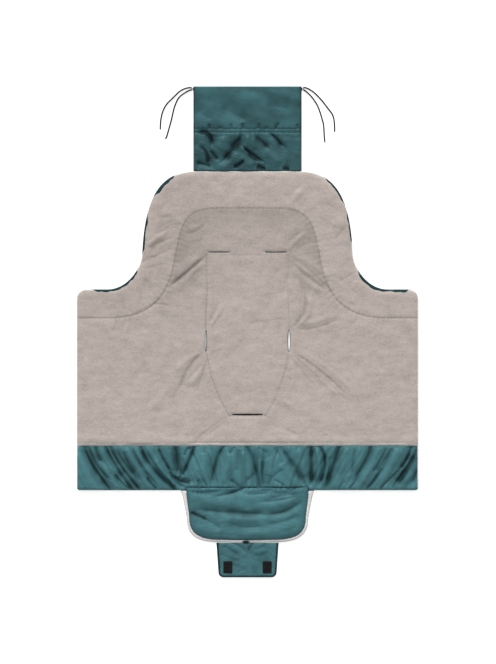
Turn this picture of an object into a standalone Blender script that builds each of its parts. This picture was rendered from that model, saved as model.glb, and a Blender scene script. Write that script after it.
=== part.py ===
"""Stroller footmuff, unzipped and laid flat with its fleece side up.

The padded body is cut by two fold lines into the back and two wings. Each layer of it (shell, wadding,
fleece border, fleece lining, turned hem, gathered foot band) is one outline, rounded at its rim and
trimmed to its part by a slab whose upper face carries the swell, the channels and the folds.
+X is the child's left as seen here on the right, +Y runs to the head, and the shell lies on Z = 0.
"""

import math

import bmesh
import bpy
from mathutils import Matrix, Vector

# Driving dimensions, in metres
SPAN = 0.8892  # across the open wings
WING_LENGTH = 0.5226  # lower edge to the wings' top edge
BODY_LENGTH = 0.8307  # lower edge to the top of the hood
HEAD_WIDTH = 0.2808
HEAD_LENGTH = 0.2210
FLAP_LENGTH = 0.1365
FLAP_WIDTH = 0.3330
TAB_LENGTH = 0.0897
TAB_WIDTH = 0.1612
BAND_DEPTH = 0.1157  # of the gathered foot band
HEM_WIDTH = 0.0072  # turned edge of the fleece above the band
LOFT = 0.0130  # thickness of the padded body
SHELL_THICKNESS = 0.0012
WADDING_THICKNESS = 0.0070
GAP = 0.0003  # between pieces that are sewn or laid together
OVERRUN = 0.0200  # by which a cutter passes what it cuts

# Places that follow from them
HOOD_LENGTH = BODY_LENGTH - WING_LENGTH
FOLD_X = SPAN / 4 + GAP  # each wing folds to the middle
EDGE_Y = TAB_LENGTH + FLAP_LENGTH - (TAB_LENGTH + FLAP_LENGTH + BODY_LENGTH + HEAD_LENGTH) / 2
WING_TOP_Y = EDGE_Y + WING_LENGTH
HOOD_TOP_Y = EDGE_Y + BODY_LENGTH
HEAD_TOP_Y = HOOD_TOP_Y + HEAD_LENGTH
FLAP_END_Y = EDGE_Y - FLAP_LENGTH
TAB_END_Y = FLAP_END_Y - TAB_LENGTH
BAND_TOP_Y = EDGE_Y + BAND_DEPTH
LINING_LOW_Y = BAND_TOP_Y + HEM_WIDTH
LAYER_Z = SHELL_THICKNESS + GAP  # where the layers above the shell begin
WADDING_TOP = LAYER_Z + GAP + WADDING_THICKNESS

# Outline of the fleece: hood shoulder, armpit and wing
HOOD_TOP_HALF = HEAD_WIDTH / 2
HOOD_HALF = 0.3076 * SPAN
HOOD_WIDEST = 0.6835 * HOOD_LENGTH  # below the top of the hood
ARMPIT_RUN = 0.1012 * SPAN  # from the hood's side to where the wing's top edge is level
SHOULDER_SHARES = ((0.70, 0.02), (0.95, 0.37))
ARMPIT_SHARES = ((0.03, 0.50), (0.48, 1.00))
WING_CORNER = 0.0230
LOW_CORNER = 0.0080
CURVE_STEPS = 12
CORNER_STEPS = 5
SHELL_MARGIN = 0.0030  # by which the shell shows past the fleece at the hood

# Seam between the border and the main lining
SEAM_TOP = 0.3148 * HOOD_LENGTH  # below the top of the hood
SEAM_TOP_HALF = 0.0821 * SPAN
SEAM_WAIST_HALF = 0.2134 * SPAN
SEAM_WAIST = 0.7530 * HOOD_LENGTH  # below the top of the hood
SEAM_WING_X = 0.4240 * SPAN
SEAM_WING = 0.1416 * WING_LENGTH  # below the wings' top edge
SEAM_TOP_SHARES = ((0.82, 0.0), (0.84, 0.31))
SEAM_LOW_SHARES = ((0.08, 0.58), (0.29, 1.04))

# Rims and swell
RIM_ROUND = 0.0050
SEAM_ROUND = 0.0030
RIM_WIDTH = 0.0120  # fleece turned down outside the wadding
SWELL = 0.0012
LINING_CELL = 0.0230
BORDER_CELL = 0.0300

# Harness slots and the stitched outline that joins them
SLOT_OPENING = 0.0052
BINDING_WALL = 0.0014
SLOT_END_STEPS = 3
SHOULDER_SLOT_X = 0.0832 * SPAN
SHOULDER_SLOT_LENGTH = 0.0600
SHOULDER_SLOT_UP = WING_LENGTH + 0.3165 * HOOD_LENGTH  # above the lower edge
WAIST_SLOT_X = 0.1213 * SPAN
WAIST_SLOT_LENGTH = 0.0590
WAIST_SLOT_UP = 0.7449 * WING_LENGTH
CROTCH_SLOT_LENGTH = 0.0830
CROTCH_SLOT_UP = 0.3781 * WING_LENGTH
STITCH_RADIUS = 0.0028
TOE_SHARES = ((0.20, 0.50), (0.15, 0.90))
CREASE_DEPTH = 0.0020
CREASE_WIDTH = 0.0150
SHOULDER_CREASE = 0.1450
SHOULDER_CREASE_ANGLE = -42.0
WAIST_CREASE = 0.1300
WAIST_CREASE_ANGLE = -60.0

# Gathered foot band
PINCH_X = 0.4925 * FLAP_WIDTH  # where its folds draw together, at the flap's corners
PINCH_DROP = 0.0120  # below the lower edge
FOLD_HEIGHT = 0.0016
FOLDS_PER_TURN = 30
MIDDLE_FOLD_PITCH = 0.0230
BAND_CELL = 0.0098
ELASTIC_WIDTH = 0.0080
ELASTIC_THICKNESS = 0.0015

# Zip on the wings' free edges
TAPE_INSIDE = 0.0270  # from the wing's edge to the tape's sewn edge
TAPE_THICKNESS = 0.0006
COIL_INSIDE = 0.0079  # from the wing's edge to the middle of the row of teeth
COIL_WIDTH = 0.0023
COIL_HEIGHT = 0.0022
COIL_Z = 0.0040
SHELL_INSIDE = 0.0160  # from the wing's edge to the shell's edge
ZIP_START = 0.0080  # above the lower edge
ZIP_END = 0.0260  # below the wing's top edge
TAPE_TAIL = 0.0120  # of the tape past the stop
STOP_LENGTH = 0.0050
BOX_LENGTH = 0.0080
SLIDER_LENGTH = 0.0110
SLIDER_WIDTH = 0.0104
SLIDER_PLATE = 0.0007
SLIDER_WEB = 0.0008
SLIDER_LIP = 0.0008
SLIDER_CENTRE_INSIDE = 0.0054
BRIDGE_WIDTH = 0.0016
BRIDGE_BAR = 0.0007
BRIDGE_EYE = 0.0011
PULLER_THICKNESS = 0.0007
PULLER_LENGTH = 0.0200
PULLER_WIDTH = 0.0060
PULLER_WINDOW = 0.0080
PULLER_RAIL = 0.0010

# Foot flap, closure tab and the patches
FLAP_NARROW_SHARE = 0.94  # of its half width, low on its sides
FLAP_FLAT_SHARE = 0.375  # half of its straight lower edge, of its whole width
FLAP_SHOULDER_SHARE = 0.55  # of its length, where the sides begin to turn in
FLAP_TURN_SHARES = ((0.0, 0.62), (0.30, 1.00))
FLAP_BACKING = 0.0032
FLAP_RIM = 0.0085
FLAP_WADDING = 0.0040
FLAP_LOFT = 0.0110
FLAP_FOLD = 0.0014
FLAP_CELL = 0.0130
TAB_CORNER = 0.0130
TAB_TAPER = 0.0052
TAB_THICKNESS = 0.0058
TAB_BINDING = 0.0048
TAB_BINDING_PROUD = 0.0006
HOOK_WIDTH = 0.0234
HOOK_LENGTH = 0.0312
HOOK_THICKNESS = 0.0015
HOOK_X = 0.0512
HOOK_DROP = 0.0637  # below the flap's end
LOOP_WIDTH = 0.0400
LOOP_LENGTH = 0.0600
PATCH_CORNER = 0.0020

# Head panel and its ties
FACING_LENGTH = 0.1190  # doubled upper part, down to the stitch rows
FACING_THICKNESS = 0.0010
PANEL_THICKNESS = 0.0044
HEAD_HEM = 0.0050
HEAD_HEM_THICKNESS = 0.0050
HEAD_FOLD = 0.0012
HEAD_CELL = 0.0150
TIE_DIAMETER = 0.0030
TIE_ROOT = 0.0160  # doubled end held inside the corner
TIE_DROP = 0.0073  # below the panel's top edge
TIE_PITCH = 0.0036  # between the two tails at the corner
TIE_Z = 0.0026

# Hinge heights
FOLD_Z = LOFT + SWELL + GAP
TAB_FOLD_Z = FLAP_LOFT + GAP

# Tie tails, from the panel's corner to the bare end, on the right side; the left is chosen apart
TAIL_ROUTES = {
    "tie_left_outer": (
        (-0.1448, 0.6336, 0.0026), (-0.1500, 0.6355, 0.0022), (-0.1609, 0.6336, 0.0017),
        (-0.1690, 0.6303, 0.0016), (-0.1778, 0.6248, 0.0016), (-0.1859, 0.6173, 0.0016),
        (-0.1968, 0.6064, 0.0016), (-0.2088, 0.5944, 0.0016), (-0.2166, 0.5824, 0.0016),
        (-0.2218, 0.5697, 0.0016), (-0.2246, 0.5577, 0.0016), (-0.2262, 0.5475, 0.0016),
        (-0.2272, 0.5260, 0.0016),
    ),
    "tie_left_inner": (
        (-0.1448, 0.6300, 0.0026), (-0.1539, 0.6270, 0.0022), (-0.1641, 0.6212, 0.0017),
        (-0.1739, 0.6143, 0.0016), (-0.1810, 0.6062, 0.0016), (-0.1859, 0.5963, 0.0016),
        (-0.1908, 0.5833, 0.0016), (-0.1947, 0.5675, 0.0016), (-0.1979, 0.5527, 0.0016),
        (-0.2018, 0.5386, 0.0016), (-0.2096, 0.5110, 0.0016), (-0.2137, 0.5014, 0.0016),
    ),
    "tie_right_outer": (
        (0.1448, 0.6336, 0.0026), (0.1483, 0.6356, 0.0022), (0.1563, 0.6334, 0.0017),
        (0.1661, 0.6279, 0.0016), (0.1742, 0.6220, 0.0016), (0.1823, 0.6142, 0.0016),
        (0.1960, 0.5991, 0.0016), (0.2101, 0.5805, 0.0016), (0.2200, 0.5675, 0.0016),
        (0.2249, 0.5535, 0.0016), (0.2265, 0.5376, 0.0016), (0.2270, 0.5202, 0.0016),
    ),
    "tie_right_inner": (
        (0.1448, 0.6300, 0.0026), (0.1500, 0.6272, 0.0022), (0.1573, 0.6214, 0.0017),
        (0.1672, 0.6112, 0.0016), (0.1752, 0.6003, 0.0016), (0.1823, 0.5883, 0.0016),
        (0.1882, 0.5735, 0.0016), (0.1940, 0.5545, 0.0016), (0.1981, 0.5376, 0.0016),
        (0.1999, 0.5090, 0.0016), (0.2015, 0.4926, 0.0016),
    ),
}
TAIL_STEP = 0.0075


# Helpers


def clear_scene():
    for obj in list(bpy.data.objects):
        bpy.data.objects.remove(obj)


def make_material(name, colour, roughness, metallic=0.0):
    material = bpy.data.materials.new(name)
    material.use_nodes = True
    shader = material.node_tree.nodes["Principled BSDF"]
    shader.inputs["Base Color"].default_value = (*colour, 1.0)
    shader.inputs["Roughness"].default_value = roughness
    shader.inputs["Metallic"].default_value = metallic
    material.diffuse_color = (*colour, 1.0)
    return material


def curve_between(start, end, shares, steps=CURVE_STEPS):
    """Cubic curve; its two handles lie at shares of the run along X and along Y."""
    handles = [
        (start[0] + share_x * (end[0] - start[0]), start[1] + share_y * (end[1] - start[1]))
        for share_x, share_y in shares
    ]
    points = []
    for i in range(steps + 1):
        t = i / steps
        weights = ((1 - t) ** 3, 3 * (1 - t) ** 2 * t, 3 * (1 - t) * t * t, t**3)
        corners = (start, *handles, end)
        points.append(tuple(sum(w * c[axis] for w, c in zip(weights, corners)) for axis in (0, 1)))
    return points


def corner_arc(centre, radius, first, last, steps=CORNER_STEPS):
    turns = (math.radians(first + (last - first) * i / steps) for i in range(steps + 1))
    return [(centre[0] + radius * math.cos(a), centre[1] + radius * math.sin(a)) for a in turns]


def both_sides(half):
    """A closed outline from the points of its right half, given from top to bottom."""
    left = [(-x, y) for x, y in reversed(half) if x > GAP]
    return half + left


def offset_outline(points, distance):
    """The outline moved inwards by distance, each corner along its mitre."""
    count = len(points)
    area = sum(
        points[i - 1][0] * points[i][1] - points[i][0] * points[i - 1][1] for i in range(count)
    )
    side = 1 if area > 0 else -1
    moved = []
    for i in range(count):
        before, here, after = (Vector(points[(i + k) % count]) for k in (-1, 0, 1))
        first = (here - before).normalized()
        second = (after - here).normalized()
        normals = [Vector((-d.y, d.x)) * side for d in (first, second)]
        mitre = (normals[0] + normals[1]).normalized()
        reach = distance / max(mitre.dot(normals[0]), 0.5)
        moved.append(tuple(here + mitre * reach))
    return moved


def rectangle(low, high):
    return [(low[0], low[1]), (high[0], low[1]), (high[0], high[1]), (low[0], high[1])]


def rounded_rectangle(centre, width, length, radius, steps=CORNER_STEPS):
    x, y = width / 2 - radius, length / 2 - radius
    points = []
    for sign_x, sign_y, turn in ((1, 1, 0), (-1, 1, 90), (-1, -1, 180), (1, -1, 270)):
        middle = (centre[0] + sign_x * x, centre[1] + sign_y * y)
        points += corner_arc(middle, radius, turn, turn + 90, steps)
    return points


def shape_prism(bm, outline, low, high, rounding=0.0, rise=0.0):
    """An outline's solid from low to high, its upper edge rounded by two insets.

    With a rise it goes on up inside that edge, for a slab to trim to the upper face.
    """
    face = bm.faces.new([bm.verts.new((x, y, low)) for x, y in outline])
    face.normal_update()
    if face.normal.z < 0:
        face.normal_flip()
    wall = bmesh.ops.extrude_face_region(bm, geom=[face])["geom"]
    lifted = [g for g in wall if isinstance(g, bmesh.types.BMVert)]
    bmesh.ops.translate(bm, verts=lifted, vec=(0, 0, high - rounding - low))
    top = [g for g in wall if isinstance(g, bmesh.types.BMFace)]
    bmesh.ops.recalc_face_normals(bm, faces=bm.faces[:])
    for inward_share, up_share in ((0.29, 0.71), (0.71, 0.29)):
        if rounding:
            inset = {"thickness": rounding * inward_share, "depth": rounding * up_share}
            bmesh.ops.inset_region(bm, faces=top, use_even_offset=True, **inset)
    if rise:
        bmesh.ops.inset_region(bm, faces=top, use_even_offset=True, thickness=GAP, depth=rise)


def shape_slab(bm, low, high, cell, height):
    """A block under the surface height(x, y), for trimming a layer to its part of the body."""
    cells_x = max(1, round((high[0] - low[0]) / cell))
    cells_y = max(1, round((high[1] - low[1]) / cell))
    grid = bmesh.ops.create_grid(bm, x_segments=cells_x, y_segments=cells_y, size=0.5)["verts"]
    for vert in grid:
        vert.co.x = low[0] + (vert.co.x + 0.5) * (high[0] - low[0])
        vert.co.y = low[1] + (vert.co.y + 0.5) * (high[1] - low[1])
        vert.co.z = height(vert.co.x, vert.co.y)
    under = bmesh.ops.extrude_face_region(bm, geom=bm.faces[:])["geom"]
    for vert in (g for g in under if isinstance(g, bmesh.types.BMVert)):
        vert.co.z = -OVERRUN
    bmesh.ops.recalc_face_normals(bm, faces=bm.faces[:])


def new_object(name, bm):
    mesh = bpy.data.meshes.new(name)
    bm.to_mesh(mesh)
    bm.free()
    obj = bpy.data.objects.new(name, mesh)
    bpy.context.scene.collection.objects.link(obj)
    return obj


def make_piece(name, bm, body, material, angle=40.0):
    """A node: its mesh is moved to its body's frame and hung from the body's empty."""
    bmesh.ops.recalc_face_normals(bm, faces=bm.faces[:])
    bmesh.ops.transform(bm, matrix=Matrix.Translation(-body.location), verts=bm.verts[:])
    obj = new_object(name, bm)
    obj.parent = body
    obj.data.materials.append(material)
    obj.data.shade_smooth()
    obj.data.set_sharp_from_angle(angle=math.radians(angle))
    return obj


def make_cutter(name, bm):
    bmesh.ops.recalc_face_normals(bm, faces=bm.faces[:])
    obj = new_object(name, bm)
    obj.hide_render = True
    obj.display_type = "WIRE"
    return obj


def prism_cutter(name, outlines, low, high):
    bm = bmesh.new()
    for outline in outlines:
        shape_prism(bm, outline, low, high)
    return make_cutter(name, bm)


def slab_cutter(name, low, high, cell, height):
    bm = bmesh.new()
    shape_slab(bm, low, high, cell, height)
    return make_cutter(name, bm)


def use_boolean(obj, cutter, operation="DIFFERENCE"):
    modifier = obj.modifiers.new(cutter.name, "BOOLEAN")
    modifier.operation = operation
    modifier.object = cutter
    modifier.solver = "EXACT"


def flat_at(level):
    return lambda x, y: level


# Outlines of the body


def fleece_outline():
    shoulder = curve_between(
        (HOOD_TOP_HALF, HOOD_TOP_Y), (HOOD_HALF, HOOD_TOP_Y - HOOD_WIDEST), SHOULDER_SHARES
    )
    armpit = curve_between(shoulder[-1], (HOOD_HALF + ARMPIT_RUN, WING_TOP_Y), ARMPIT_SHARES)
    upper_centre = (SPAN / 2 - WING_CORNER, WING_TOP_Y - WING_CORNER)
    lower_centre = (SPAN / 2 - LOW_CORNER, EDGE_Y + LOW_CORNER)
    upper = corner_arc(upper_centre, WING_CORNER, 90, 0)
    lower = corner_arc(lower_centre, LOW_CORNER, 0, -90, 3)
    return both_sides(shoulder + armpit[1:] + upper + lower)


def seam_line():
    """The right half of the seam, from the middle of the hood to the wing's edge."""
    waist = (SEAM_WAIST_HALF, HOOD_TOP_Y - SEAM_WAIST)
    top = curve_between((SEAM_TOP_HALF, HOOD_TOP_Y - SEAM_TOP), waist, SEAM_TOP_SHARES, 9)
    wing_end = (SEAM_WING_X, WING_TOP_Y - SEAM_WING)
    low = curve_between(waist, wing_end, SEAM_LOW_SHARES, 10)
    return [(0, HOOD_TOP_Y - SEAM_TOP)] + top + low[1:] + [(SPAN / 2, WING_TOP_Y - SEAM_WING)]


def border_outline():
    outer = [p for p in fleece_outline() if p[1] > WING_TOP_Y - WING_CORNER - GAP]
    right = [p for p in outer if p[0] > 0]
    left = [p for p in outer if p[0] < 0]
    seam = seam_line()
    right_seam = [(x, y + GAP / 2) for x, y in reversed(seam)]
    left_seam = [(-x, y + GAP / 2) for x, y in seam[1:]]
    return right + right_seam + left_seam + left


def lining_outline():
    seam = [(x, y - GAP / 2) for x, y in seam_line()]
    return both_sides(seam + [(SPAN / 2, LINING_LOW_Y + GAP / 2)])


def wadding_outline(grow=0.0):
    """The wadding's outline inside the rim, kept clear of the zip at the wings' edges."""
    rim = RIM_WIDTH - grow
    side = SPAN / 2 - TAPE_INSIDE - GAP + grow
    inner = offset_outline(fleece_outline(), rim)
    half = [p for p in inner if 0 < p[0] < side and p[1] > WING_TOP_Y - rim - GAP]
    return both_sides(half + [(side, WING_TOP_Y - rim), (side, EDGE_Y + rim)])


# Heights of the upper faces


def bump(position, low, high):
    share = (position - low) / (high - low)
    return max(0.0, 4 * share * (1 - share))


def distance_to_line(x, y, start, end):
    run = Vector(end) - Vector(start)
    along = max(0.0, min(1.0, (Vector((x, y)) - Vector(start)).dot(run) / run.length_squared))
    return (Vector((x, y)) - Vector(start) - run * along).length


def crease_lines():
    """Soft creases that run out and down from the shoulder and waist slots."""
    lines = []
    shoulder = (SHOULDER_SLOT_X + SHOULDER_SLOT_LENGTH / 2, EDGE_Y + SHOULDER_SLOT_UP)
    waist = (WAIST_SLOT_X, EDGE_Y + WAIST_SLOT_UP - WAIST_SLOT_LENGTH / 2)
    runs = (
        (shoulder, SHOULDER_CREASE, SHOULDER_CREASE_ANGLE),
        (waist, WAIST_CREASE, WAIST_CREASE_ANGLE),
    )
    for start, length, angle in runs:
        turn = math.radians(angle)
        end = (start[0] + length * math.cos(turn), start[1] + length * math.sin(turn))
        lines.append((start, end))
    return lines


CREASES = crease_lines()


def lining_height(x, y):
    swell = bump(y, LINING_LOW_Y, HOOD_TOP_Y - SEAM_TOP)
    height = LOFT + SWELL * swell
    for start, end in CREASES:
        away = distance_to_line(abs(x), y, start, end)
        height -= CREASE_DEPTH * math.exp(-((away / CREASE_WIDTH) ** 2))
    return height


def border_height(x, y):
    return LOFT + SWELL * bump(y, WING_TOP_Y - SEAM_WING, HOOD_TOP_Y)


def band_height(x, y):
    """Folds fan out from the pinch under each corner of the flap and stand upright between them."""
    across = abs(x) - PINCH_X
    up = y - EDGE_Y + PINCH_DROP
    fan = math.cos(FOLDS_PER_TURN * math.atan2(up, across))
    upright = math.cos(2 * math.pi * x / MIDDLE_FOLD_PITCH)
    share = 1 / (1 + math.exp(-across / MIDDLE_FOLD_PITCH))
    fade = bump(y, EDGE_Y - PINCH_DROP, BAND_TOP_Y + PINCH_DROP)
    return LOFT - FOLD_HEIGHT + FOLD_HEIGHT * fade * (share * fan + (1 - share) * upright)


# Pieces of the padded body


def slot_outlines(grow=0.0):
    """The five slots' outlines by name, with half round ends."""
    shoulder_y = EDGE_Y + SHOULDER_SLOT_UP
    waist_y = EDGE_Y + WAIST_SLOT_UP
    width = SLOT_OPENING + 2 * BINDING_WALL
    places = {
        "shoulder_slot_binding_left": (-SHOULDER_SLOT_X, shoulder_y, SHOULDER_SLOT_LENGTH, width),
        "shoulder_slot_binding_right": (SHOULDER_SLOT_X, shoulder_y, SHOULDER_SLOT_LENGTH, width),
        "waist_slot_binding_left": (-WAIST_SLOT_X, waist_y, width, WAIST_SLOT_LENGTH),
        "waist_slot_binding_right": (WAIST_SLOT_X, waist_y, width, WAIST_SLOT_LENGTH),
        "crotch_slot_binding": (0.0, EDGE_Y + CROTCH_SLOT_UP, CROTCH_SLOT_LENGTH, width),
    }
    return {
        name: rounded_rectangle(
            (x, y), size_x + 2 * grow, size_y + 2 * grow, width / 2 + grow - GAP / 3, SLOT_END_STEPS
        )
        for name, (x, y, size_x, size_y) in places.items()
    }


def stitch_cutter():
    """A closed tube along the stitched outline, half sunk in the lining."""
    width = SLOT_OPENING / 2 + BINDING_WALL
    shoulder = (SHOULDER_SLOT_X + SHOULDER_SLOT_LENGTH / 2, EDGE_Y + SHOULDER_SLOT_UP)
    waist_low = (WAIST_SLOT_X - width, EDGE_Y + WAIST_SLOT_UP - WAIST_SLOT_LENGTH / 2)
    crotch = (CROTCH_SLOT_LENGTH / 2, EDGE_Y + CROTCH_SLOT_UP)
    half = [(0, shoulder[1]), shoulder] + curve_between(waist_low, crotch, TOE_SHARES, 7)
    half.append((0, crotch[1]))
    points = half + [(-x, y) for x, y in reversed(half) if x > GAP]
    curve = bpy.data.curves.new("stitch_line", "CURVE")
    curve.dimensions = "3D"
    curve.bevel_depth = STITCH_RADIUS
    curve.bevel_resolution = 1
    spline = curve.splines.new("POLY")
    spline.points.add(len(points) - 1)
    spline.use_cyclic_u = True
    for point, (x, y) in zip(spline.points, points):
        point.co = (x, y, LOFT + SWELL / 2, 1)
    guide = bpy.data.objects.new("stitch_line", curve)
    bpy.context.scene.collection.objects.link(guide)
    tube = bpy.data.meshes.new_from_object(guide.evaluated_get(bpy.context.evaluated_depsgraph_get()))
    bpy.data.objects.remove(guide)
    bm = bmesh.new()
    bm.from_mesh(tube)
    bpy.data.meshes.remove(tube)
    return make_cutter("stitch_channel", bm)


def zip_rooms(side, part):
    """Cutters for the tape and, deeper, for the teeth and the slider, under a wing's rim."""
    edge = SPAN / 2
    low, high = EDGE_Y + ZIP_START - GAP, WING_TOP_Y - ZIP_END + GAP
    teeth_top = COIL_Z + COIL_HEIGHT / 2 + GAP + SLIDER_PLATE + GAP
    slider_inside = SLIDER_CENTRE_INSIDE + SLIDER_WIDTH / 2
    rooms = (
        ("tape", TAPE_INSIDE, OVERRUN / 2, 0.0, COIL_Z + TAPE_THICKNESS / 2 + GAP),
        ("slider", slider_inside, OVERRUN, GAP / 2, teeth_top),
    )
    cutters = []
    for name, inside, past, longer, top in rooms:
        near, far = sorted((side * (edge - inside - GAP), side * (edge + past)))
        outline = rectangle((near, low - longer), (far, high + longer))
        cutters.append(prism_cutter(f"{part}_{name}_room", [outline], -past, top))
    return cutters


def build_body(bodies, materials):
    ends = {
        "left": (-SPAN / 2 - OVERRUN, -FOLD_X - GAP / 2),
        "back": (-FOLD_X + GAP / 2, FOLD_X - GAP / 2),
        "right": (FOLD_X + GAP / 2, SPAN / 2 + OVERRUN),
    }
    slots = prism_cutter("slot_holes", slot_outlines(GAP).values(), -OVERRUN, LOFT + OVERRUN)
    cavity = prism_cutter("wadding_room", [wadding_outline(GAP)], -OVERRUN, WADDING_TOP + GAP)
    channel = stitch_cutter()
    elastic_low = EDGE_Y + RIM_WIDTH
    elastic_outline = rectangle((-PINCH_X, elastic_low), (PINCH_X, elastic_low + ELASTIC_WIDTH))
    elastic_room = prism_cutter(
        "elastic_room", [offset_outline(elastic_outline, -GAP)], -OVERRUN, LAYER_Z + ELASTIC_THICKNESS + GAP
    )
    fleece = fleece_outline()
    rims = offset_outline(fleece, -SHELL_MARGIN)
    hem = rectangle((-SPAN / 2, BAND_TOP_Y + GAP / 2), (SPAN / 2, LINING_LOW_Y - GAP / 2))
    low_edge = [p for p in fleece if p[1] < EDGE_Y + LOW_CORNER + GAP]
    band = [(SPAN / 2, BAND_TOP_Y - GAP / 2)] + low_edge + [(-SPAN / 2, BAND_TOP_Y - GAP / 2)]
    lining_slab = (LINING_CELL, lining_height)
    border_slab = (BORDER_CELL, border_height)
    band_slab = (BAND_CELL, band_height)
    hem_slab = (SPAN, flat_at(LOFT - SWELL))
    border_low = WING_TOP_Y - 2 * SEAM_WING
    lining_high = HOOD_TOP_Y - SEAM_TOP
    top_layers = (
        ("border", border_outline(), RIM_ROUND, border_slab, "fleece", (border_low, HOOD_TOP_Y)),
        ("lining", lining_outline(), SEAM_ROUND, lining_slab, "fleece", (BAND_TOP_Y, lining_high)),
        ("hem", hem, HEM_WIDTH / 3, hem_slab, "fleece_edge", (BAND_TOP_Y, LINING_LOW_Y)),
        ("foot_band", band, SEAM_ROUND, band_slab, "nylon", (EDGE_Y, BAND_TOP_Y)),
    )
    for part, (low_x, high_x) in ends.items():
        body = bodies["back" if part == "back" else part + "_wing"]
        side = {"left": -1, "back": 0, "right": 1}[part]
        rooms = zip_rooms(side, part) if side else []
        shell_x = SPAN / 2 - SHELL_INSIDE
        shell_low, shell_high = max(low_x, -shell_x), min(high_x, shell_x)
        shell = bmesh.new()
        shape_prism(shell, rims, 0, SHELL_THICKNESS)
        shell = make_piece(f"{part}_shell", shell, body, materials["nylon"])
        low, high = (shell_low, EDGE_Y), (shell_high, HOOD_TOP_Y)
        slab = slab_cutter(f"{part}_shell_trim", low, high, SPAN, flat_at(OVERRUN))
        use_boolean(shell, slab, "INTERSECT")
        wadding = bmesh.new()
        shape_prism(wadding, wadding_outline(), LAYER_Z, WADDING_TOP)
        wadding = make_piece(f"{part}_wadding", wadding, body, materials["wadding"])
        low, high = (low_x, EDGE_Y - OVERRUN), (high_x, HOOD_TOP_Y + OVERRUN)
        slab = slab_cutter(f"{part}_wadding_trim", low, high, SPAN, flat_at(OVERRUN))
        use_boolean(wadding, slab, "INTERSECT")
        if part == "back":
            use_boolean(shell, slots)
            use_boolean(wadding, slots)
            use_boolean(wadding, elastic_room)
        else:
            outline = loop_outline(side)
            cutter = prism_cutter(f"{part}_loop_room", [offset_outline(outline, -GAP)], -OVERRUN, OVERRUN)
            use_boolean(shell, cutter)
        for layer, outline, rounding, (cell, height), finish, (low_y, high_y) in top_layers:
            bm = bmesh.new()
            shape_prism(bm, outline, LAYER_Z, LOFT - SWELL / 2, rounding, rise=OVERRUN / 4)
            piece = make_piece(f"{part}_{layer}", bm, body, materials[finish])
            low, high = (low_x, low_y - OVERRUN), (high_x, high_y + OVERRUN)
            slab = slab_cutter(f"{part}_{layer}_trim", low, high, cell, height)
            use_boolean(piece, slab, "INTERSECT")
            use_boolean(piece, cavity)
            for room in rooms:
                use_boolean(piece, room)
            if part == "back" and layer == "lining":
                use_boolean(piece, channel)
                use_boolean(piece, slots)
    for name, outline in slot_outlines().items():
        make_binding(name, outline, bodies["back"], materials["binding"])
    elastic = bmesh.new()
    shape_prism(elastic, elastic_outline, LAYER_Z, LAYER_Z + ELASTIC_THICKNESS)
    make_piece("foot_elastic", elastic, bodies["back"], materials["wadding"])


def make_binding(name, outline, body, material):
    """A bound slot: a ring of tape through all the layers."""
    bm = bmesh.new()
    face = bm.faces.new([bm.verts.new((x, y, GAP)) for x, y in outline])
    face.normal_update()
    inset = {"thickness": BINDING_WALL, "use_even_offset": True, "use_boundary": True}
    bmesh.ops.inset_region(bm, faces=[face], **inset)
    bmesh.ops.delete(bm, geom=[face], context="FACES")
    ring = bmesh.ops.extrude_face_region(bm, geom=bm.faces[:])["geom"]
    for vert in (g for g in ring if isinstance(g, bmesh.types.BMVert)):
        vert.co.z = LOFT - STITCH_RADIUS / 2
    make_piece(name, bm, body, material)


# Zip


def block(bm, low, high):
    shape_prism(bm, rectangle(low[:2], high[:2]), low[2], high[2])


def loop_outline(side):
    centre_x = side * (2 * FOLD_X - HOOK_X)
    centre_y = EDGE_Y + FLAP_LENGTH + HOOK_DROP
    return rounded_rectangle((centre_x, centre_y), LOOP_WIDTH, LOOP_LENGTH, PATCH_CORNER, 3)


def build_wing_zip(side, body, materials):
    name = "left" if side < 0 else "right"
    edge = SPAN / 2
    low, high = EDGE_Y + ZIP_START, WING_TOP_Y - ZIP_END
    coil_x = edge - COIL_INSIDE
    tape_z = COIL_Z - TAPE_THICKNESS / 2
    coil_low, coil_high = COIL_Z - COIL_HEIGHT / 2, COIL_Z + COIL_HEIGHT / 2

    def spread(inner, outer):
        return sorted((side * inner, side * outer))

    tape = bmesh.new()
    xs = spread(edge - TAPE_INSIDE, coil_x - COIL_WIDTH / 2 - GAP)
    block(tape, (xs[0], low, tape_z), (xs[1], high, tape_z + TAPE_THICKNESS))
    make_piece(f"{name}_zip_tape", tape, body, materials["tape"])

    foot = low + BOX_LENGTH
    teeth_end = high - TAPE_TAIL
    xs = spread(coil_x - COIL_WIDTH / 2, coil_x + COIL_WIDTH / 2)
    coil = bmesh.new()
    profile = rounded_rectangle((0, COIL_Z), COIL_WIDTH, COIL_HEIGHT, COIL_WIDTH / 3, 2)
    face = coil.faces.new([coil.verts.new((side * coil_x + x, foot + GAP, z)) for x, z in profile])
    run = bmesh.ops.extrude_face_region(coil, geom=[face])["geom"]
    for vert in (g for g in run if isinstance(g, bmesh.types.BMVert)):
        vert.co.y = teeth_end - STOP_LENGTH - GAP
    make_piece(f"{name}_zip_teeth", coil, body, materials["teeth"])

    stop = bmesh.new()
    block(stop, (xs[0], teeth_end - STOP_LENGTH, coil_low), (xs[1], teeth_end, coil_high))
    make_piece(f"{name}_zip_stop", stop, body, materials["metal"])

    end = bmesh.new()
    if side < 0:
        centre = -(edge - SLIDER_CENTRE_INSIDE)
        xs = (centre - SLIDER_WIDTH / 4, coil_x * side + COIL_WIDTH / 2)
    block(end, (xs[0], low, coil_low), (xs[1], foot, coil_high))
    make_piece("zip_box" if side < 0 else "zip_pin", end, body, materials["teeth"])

    patch = bmesh.new()
    shape_prism(patch, loop_outline(side), 0, SHELL_THICKNESS)
    make_piece(f"{name}_loop_patch", patch, body, materials["loop"])


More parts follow.
